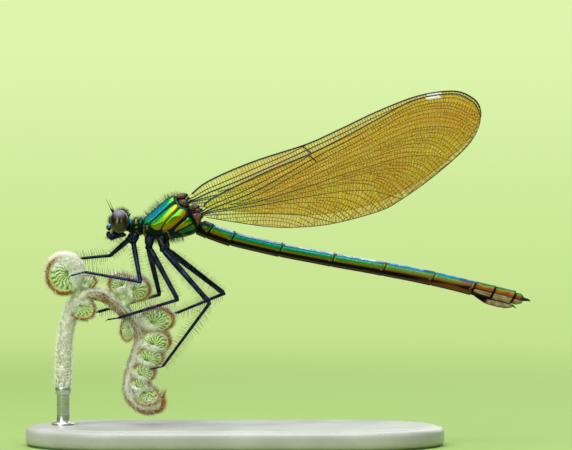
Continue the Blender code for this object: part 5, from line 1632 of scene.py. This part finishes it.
class WingPlan:
    """One wing drawn flat: its edges, its main veins and the rows and cross-veins between them."""

    def __init__(self, shape, seed):
        self.span = shape["span"]
        self.rng = np.random.default_rng(seed)
        outline = curve_through([*shape["lead"], (self.span, TIP_DEPTH), *shape["trail"]], 620)
        self.tip = int(np.argmax(outline[:, 0]))
        self.lead, self.trail = outline[: self.tip + 1], outline[self.tip :][::-1]
        self.main = {}
        for label, (marks, *_) in VEINS.items():
            self.main[label] = self.at_share(curve_through(marks, 110))
        self.rows = []
        self.guides, self.headings = self.collect_guides()
        self.draw_rows()
        self.crossings = self.draw_crossings()

    def edges_at(self, u):
        high = np.interp(u, self.lead[:, 0], self.lead[:, 1])
        return high, np.interp(u, self.trail[:, 0], self.trail[:, 1])

    def at_share(self, marks):
        u = marks[:, 0] * self.span
        high, low = self.edges_at(u)
        return np.stack([u, high + (low - high) * marks[:, 1]], -1)

    def collect_guides(self):
        """Points with headings that the rows run along: the leading edge and the main veins."""
        lines = [self.lead[8:]]
        for line in list(self.main.values())[1:]:
            onward = line[-1] + np.outer(np.arange(1, 12) * 0.25, unit(line[-1] - line[-5]))
            lines.append(np.concatenate([line, onward]))
        spots = np.concatenate([line[::3] for line in lines])
        headings = np.concatenate([unit(np.gradient(line, axis=0))[::3] for line in lines])
        return spots, headings

    def heading(self, point):
        """The way a row runs at a point, dipping as it nears the trailing edge."""
        weight = 1 / (((self.guides - point) ** 2).sum(1) + 0.05) ** 1.6
        ahead = unit(weight @ self.headings)
        high, low = self.edges_at(point[0])
        depth = (high - point[1]) / max(high - low, 0.05)
        dip = TRAIL_DIP * np.clip((depth - 0.5) / 0.5, 0, 1)
        dip = dip * np.clip(point[0] / self.span / 0.35 - 0.4, 0, 1)
        cos, sin = math.cos(dip), math.sin(dip)
        return np.array([ahead[0] * cos + ahead[1] * sin, ahead[1] * cos - ahead[0] * sin])

    def inside(self, point):
        if not 0.3 < point[0] < self.span:
            return False
        high, low = self.edges_at(point[0])
        top = high - 0.12
        if point[0] < 0.9 * self.span:
            radius = self.main["radius"]
            top = np.interp(point[0], radius[:, 0], radius[:, 1]) - 0.12
        return low < point[1] < top

    def row_gap(self, point):
        outer = np.clip(point[0] / self.span * 2.2 - 1.1, 0, 1)
        return ROW_GAP + (ROW_GAP_AT_TIP - ROW_GAP) * outer

    def draw_rows(self):
        """Fills the wing with rows, each begun a gap's width from another line."""
        taken = np.concatenate(list(self.main.values()) + [self.lead])
        queue = [self.main[label] for label in VEINS if label != "subcosta"]
        while queue:
            line = queue.pop(0)
            ahead = unit(np.gradient(line, axis=0))
            for k in range(3, len(line) - 1, 4):
                for side in (1, -1):
                    across = np.array([-ahead[k][1], ahead[k][0]])
                    start = line[k] + side * self.row_gap(line[k]) * across
                    if not self.inside(start) or self.is_near(start, taken, ROW_START):
                        continue
                    row = self.follow(start, taken)
                    if len(row) * TRACE_STEP < SHORTEST_ROW:
                        continue
                    self.rows.append(row)
                    queue.append(row)
                    taken = np.concatenate([taken, row])

    def is_near(self, point, taken, share):
        """Whether a point lies within a share of the rows' gap from the lines already drawn."""
        return ((taken - point) ** 2).sum(1).min() < (share * self.row_gap(point)) ** 2

    def follow(self, start, taken):
        """A row traced both ways from its start until it leaves the wing or meets another."""
        halves = []
        for way in (-1, 1):
            point, half = start, []
            for _ in range(260):
                point = point + way * TRACE_STEP * self.heading(point)
                if not self.inside(point):
                    half.append(point - way * 0.4 * TRACE_STEP * self.heading(point))
                    break
                if self.is_near(point, taken, ROW_STOP):
                    break
                half.append(point)
            halves.append(half)
        return np.array([*halves[0][::-1], start, *halves[1]])

    def draw_crossings(self):
        """Short veins from each line across to the next one on its leading side."""
        lines = [*self.main.values(), *self.rows, self.trail[6:]]
        borders = [*lines[:-1], self.lead, self.trail]
        walls = [np.concatenate([line[:-1], line[1:]], 1) for line in borders]
        walls = np.concatenate(walls).astype(np.float32)
        starts, aims = [], []
        for line in lines:
            run = run_of(line)
            count = int(run[-1] / CELL_PITCH)
            marks = np.arange(count) + 0.5 + self.rng.uniform(-0.13, 0.13, count)
            marks = marks * run[-1] / max(count, 1)
            if run[-1] > CELL_PITCH:
                marks = np.concatenate([[0.01], marks])
            spot = along_run(marks, run, line)
            ahead = unit(along_run(marks, run, unit(np.gradient(line, axis=0))))
            lean = self.rng.uniform(-0.12, 0.12, (len(marks), 1))
            starts.append(spot)
            aims.append(unit(np.stack([-ahead[:, 1], ahead[:, 0]], -1) + lean * ahead))
        start = np.concatenate(starts).astype(np.float32)
        aim = np.concatenate(aims).astype(np.float32)
        ends = np.full(len(start), 9.0, np.float32)
        for part in range(0, len(walls), 400):
            near, far = walls[part : part + 400, :2], walls[part : part + 400, 2:]
            wall_x, wall_y = (far - near).T[:, None]
            aim_x, aim_y = aim.T[:, :, None]
            cross = aim_x * wall_y - aim_y * wall_x
            cross = np.where(np.abs(cross) < 1e-9, 1e-9, cross)
            gap = near[None] - start[:, None]
            reach = (gap[..., 0] * wall_y - gap[..., 1] * wall_x) / cross
            along = (gap[..., 0] * aim_y - gap[..., 1] * aim_x) / cross
            hit = (reach > 0.06) & (along >= 0) & (along <= 1)
            ends = np.minimum(ends, np.where(hit, reach, 9.0).min(1))
        kept = (ends < 1.9) & (start[:, 0] > 0.02 * self.span)
        return start[kept], start[kept] + aim[kept] * ends[kept, None]

    def relief(self, points):
        """How far the pleated skin stands out of the wing's plane."""
        points = np.asarray(points, float)
        height = 0.05 * np.sin(points[:, 0] * 0.16)
        for label, (_, pleat, *_) in VEINS.items():
            line = self.main[label][::2]
            nearest = np.full(len(points), 9.0)
            for part in range(0, len(line), 16):
                gap = points[:, None] - line[None, part : part + 16]
                nearest = np.minimum(nearest, np.sqrt((gap**2).sum(-1)).min(1))
            height += pleat * np.exp(-((nearest / 0.55) ** 2))
        return height * np.clip(points[:, 0] / 2.0, 0.2, 1.0)


def strand(plan, line, radii, sides=4):
    """Rings of a vein along a line of the wing, following the pleats."""
    ahead = unit(np.gradient(line, axis=0))
    lift = plan.relief(line)
    turn = round_turn(sides) + math.pi / 4
    flat = np.outer(radii, np.cos(turn))
    u = line[:, None, 0] - ahead[:, None, 1] * flat
    v = line[:, None, 1] + ahead[:, None, 0] * flat
    return np.stack([u, v, lift[:, None] + np.outer(radii, np.sin(turn))], -1)


def on_wing(shape, side, local):
    """Points of the flat wing, u, v and lift, set in place in the frame."""
    local = np.asarray(local, float)
    u, v, lift = local[..., 0], local[..., 1], local[..., 2]
    cos, sin = math.cos(shape["rise"]), math.sin(shape["rise"])
    x = shape["root"][0] + u * cos - v * sin
    z = shape["root"][1] + u * sin + v * cos
    bow = shape["plane"] * (1 - WING_CLOSING * u / shape["span"])
    return np.stack([x, side * (bow + lift), z], -1)


skin_finish, tree, shader = new_finish("amber_skin", Roughness=0.32, IOR=1.4)
cloud, crease = noise(tree, 260.0, 3.0), noise(tree, 2600.0, 2.0)
near = mask_value(tree, "near_root")
tint = eased(tree, cloud, 0.35, 0.65)
tint = blend_colours(tree, tint, (0.82, 0.48, 0.001), (0.88, 0.64, 0.006))
# Near the root, the skin is painted a brighter yellow that stands for light shining through it from
# behind.
tint = blend_colours(tree, near, tint, (0.92, 0.9, 0.01))
thick = reckon(tree, "MULTIPLY_ADD", near, -0.12, eased(tree, cloud, 0.3, 0.7, 0.44, 0.36))
feed(tree, shader, Base_Color=tint, Alpha=thick)
roughen(tree, shader, crease, 0.25, 0.03)

vein_finish, tree, shader = new_finish("vein_horn", Roughness=0.38)
rust = mask_value(tree, "rust")
tone = eased(tree, rust, 0.0, 0.5)
tone = blend_colours(tree, tone, (0.008, 0.009, 0.014), (0.12, 0.028, 0.002))
tone = blend_colours(tree, eased(tree, rust, 0.5, 1.0), tone, (0.3, 0.075, 0.002))
feed(tree, shader, Base_Color=tone)

stigma_finish, tree, shader = new_finish("milky_cell", Roughness=0.45)
veil = eased(tree, noise(tree, 3500.0, 2.0), 0.4, 0.65)
feed(tree, shader, Base_Color=blend_colours(tree, veil, (0.97, 0.96, 0.94), (0.85, 0.72, 0.68)))

SKIN_ROWS, SKIN_SIDES = 190, 48
for kind, shape in WINGS.items():
    plan = WingPlan(shape, len(kind))
    for side, label in ((-1, "left"), (1, "right")):
        name = f"{kind}_{label}"
        s = np.sin(np.linspace(0, math.pi / 2, SKIN_ROWS)) * 0.9995
        depth = np.linspace(0, 1, SKIN_SIDES)
        marks = np.stack(np.meshgrid(s, depth, indexing="ij"), -1).reshape(-1, 2)
        flat = plan.at_share(marks)
        local = np.concatenate([flat, plan.relief(flat)[:, None]], 1)
        faces = loft_faces(SKIN_ROWS, SKIN_SIDES, closed_round=False)
        near_root = soft_step(flat[:, 0], 8.0, 2.0)
        points = on_wing(shape, side, local)
        masks = {"near_root": near_root}
        skin = new_piece(f"{name}_skin", points, faces, skin_finish, masks=masks)

        step = np.linspace(0, 1, 12)
        nodus = plan.at_share(np.stack([0.405 + 0.02 * step, 0.13 * step], -1))
        strands = []
        for line, near, far, black in (
            (plan.lead[4:], 0.11, 0.085, None),
            (plan.trail[3:], 0.06, 0.055, None),
            *((plan.main[vein], row[2], 0.028, row[3]) for vein, row in VEINS.items()),
            (nodus, 0.09, 0.07, 0.9),
        ):
            share = line[:, 0] / plan.span
            radii = near + (far - near) * np.clip(share * 1.15, 0, 1)
            tone = np.full(len(share), EDGE_TONE)
            if black:
                tone = 0.7 * np.clip((share - black) / 0.25, 0, 1)
            strands.append((line, radii, tone))
        for row in plan.rows:
            radii = ROW_RADIUS * np.clip(1.25 - 0.5 * row[:, 0] / plan.span, 0, 1)
            strands.append((row, radii, np.full(len(row), ROW_TONE)))
        shapes = [closed_loft(strand(plan, line, radii)) for line, radii, _ in strands]
        rust = [np.concatenate([np.repeat(tone, 4), tone[[0, -1]]]) for _, _, tone in strands]
        begin, end = plan.crossings
        across = unit(end - begin)
        aside = np.stack([-across[:, 1], across[:, 0]], -1)
        corners = []
        for spot in (begin, end):
            for turn in (0.5, 2.6, 4.7):
                flat = spot + aside * CROSS_RADIUS * math.cos(turn)
                lift = plan.relief(spot) + CROSS_RADIUS * math.sin(turn)
                corners.append(np.concatenate([flat, lift[:, None]], 1))
        prisms = np.stack(corners, 1)
        offset = 6 * np.arange(len(prisms))[:, None, None]
        walls = np.array([(0, 1, 4, 3), (1, 2, 5, 4), (2, 0, 3, 5)]) + offset
        caps = np.array([(0, 2, 1), (3, 4, 5)]) + offset
        shapes.append((prisms, [*walls.reshape(-1, 4).tolist(), *caps.reshape(-1, 3).tolist()]))
        rust.append(np.repeat(0.82 + 0.18 * plan.rng.random(len(prisms)), 6))
        points, faces = joined(shapes)
        masks = {"rust": np.concatenate(rust)}
        placed = on_wing(shape, side, points)
        net = new_piece(f"{name}_veins", placed, faces, vein_finish, masks=masks)
        add_bake_map(net, (points[:, :2] + np.array([0.0, 7.0])) / np.array([plan.span, 12.0]))

        share = np.linspace(STIGMA_START, STIGMA_END, 12)
        bands = []
        inner = STIGMA_DEPTH - 0.03
        for inset, thick in ((0.05, 0.01), (0.07, 0.03), (inner, 0.03), (STIGMA_DEPTH, 0.01)):
            u = share * plan.span + inset * 0.7
            bands.append((u, plan.edges_at(u)[0] - inset, thick))
        rings = []
        for k in range(12):
            upper = [(u[k], v[k], thick) for u, v, thick in bands]
            lower = [(u[k], v[k], -thick) for u, v, thick in bands[::-1]]
            rings.append(upper + lower)
        rings = np.array(rings)
        rings[..., 2] += plan.relief(rings[:, :, :2].reshape(-1, 2)).reshape(rings.shape[:2])
        points, faces = closed_loft(rings)
        points = on_wing(shape, side, points)
        milk = new_piece(f"{name}_white_cell", points, faces, stigma_finish)
        for piece in (skin, net, milk):
            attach(piece, "root")
        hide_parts(name)
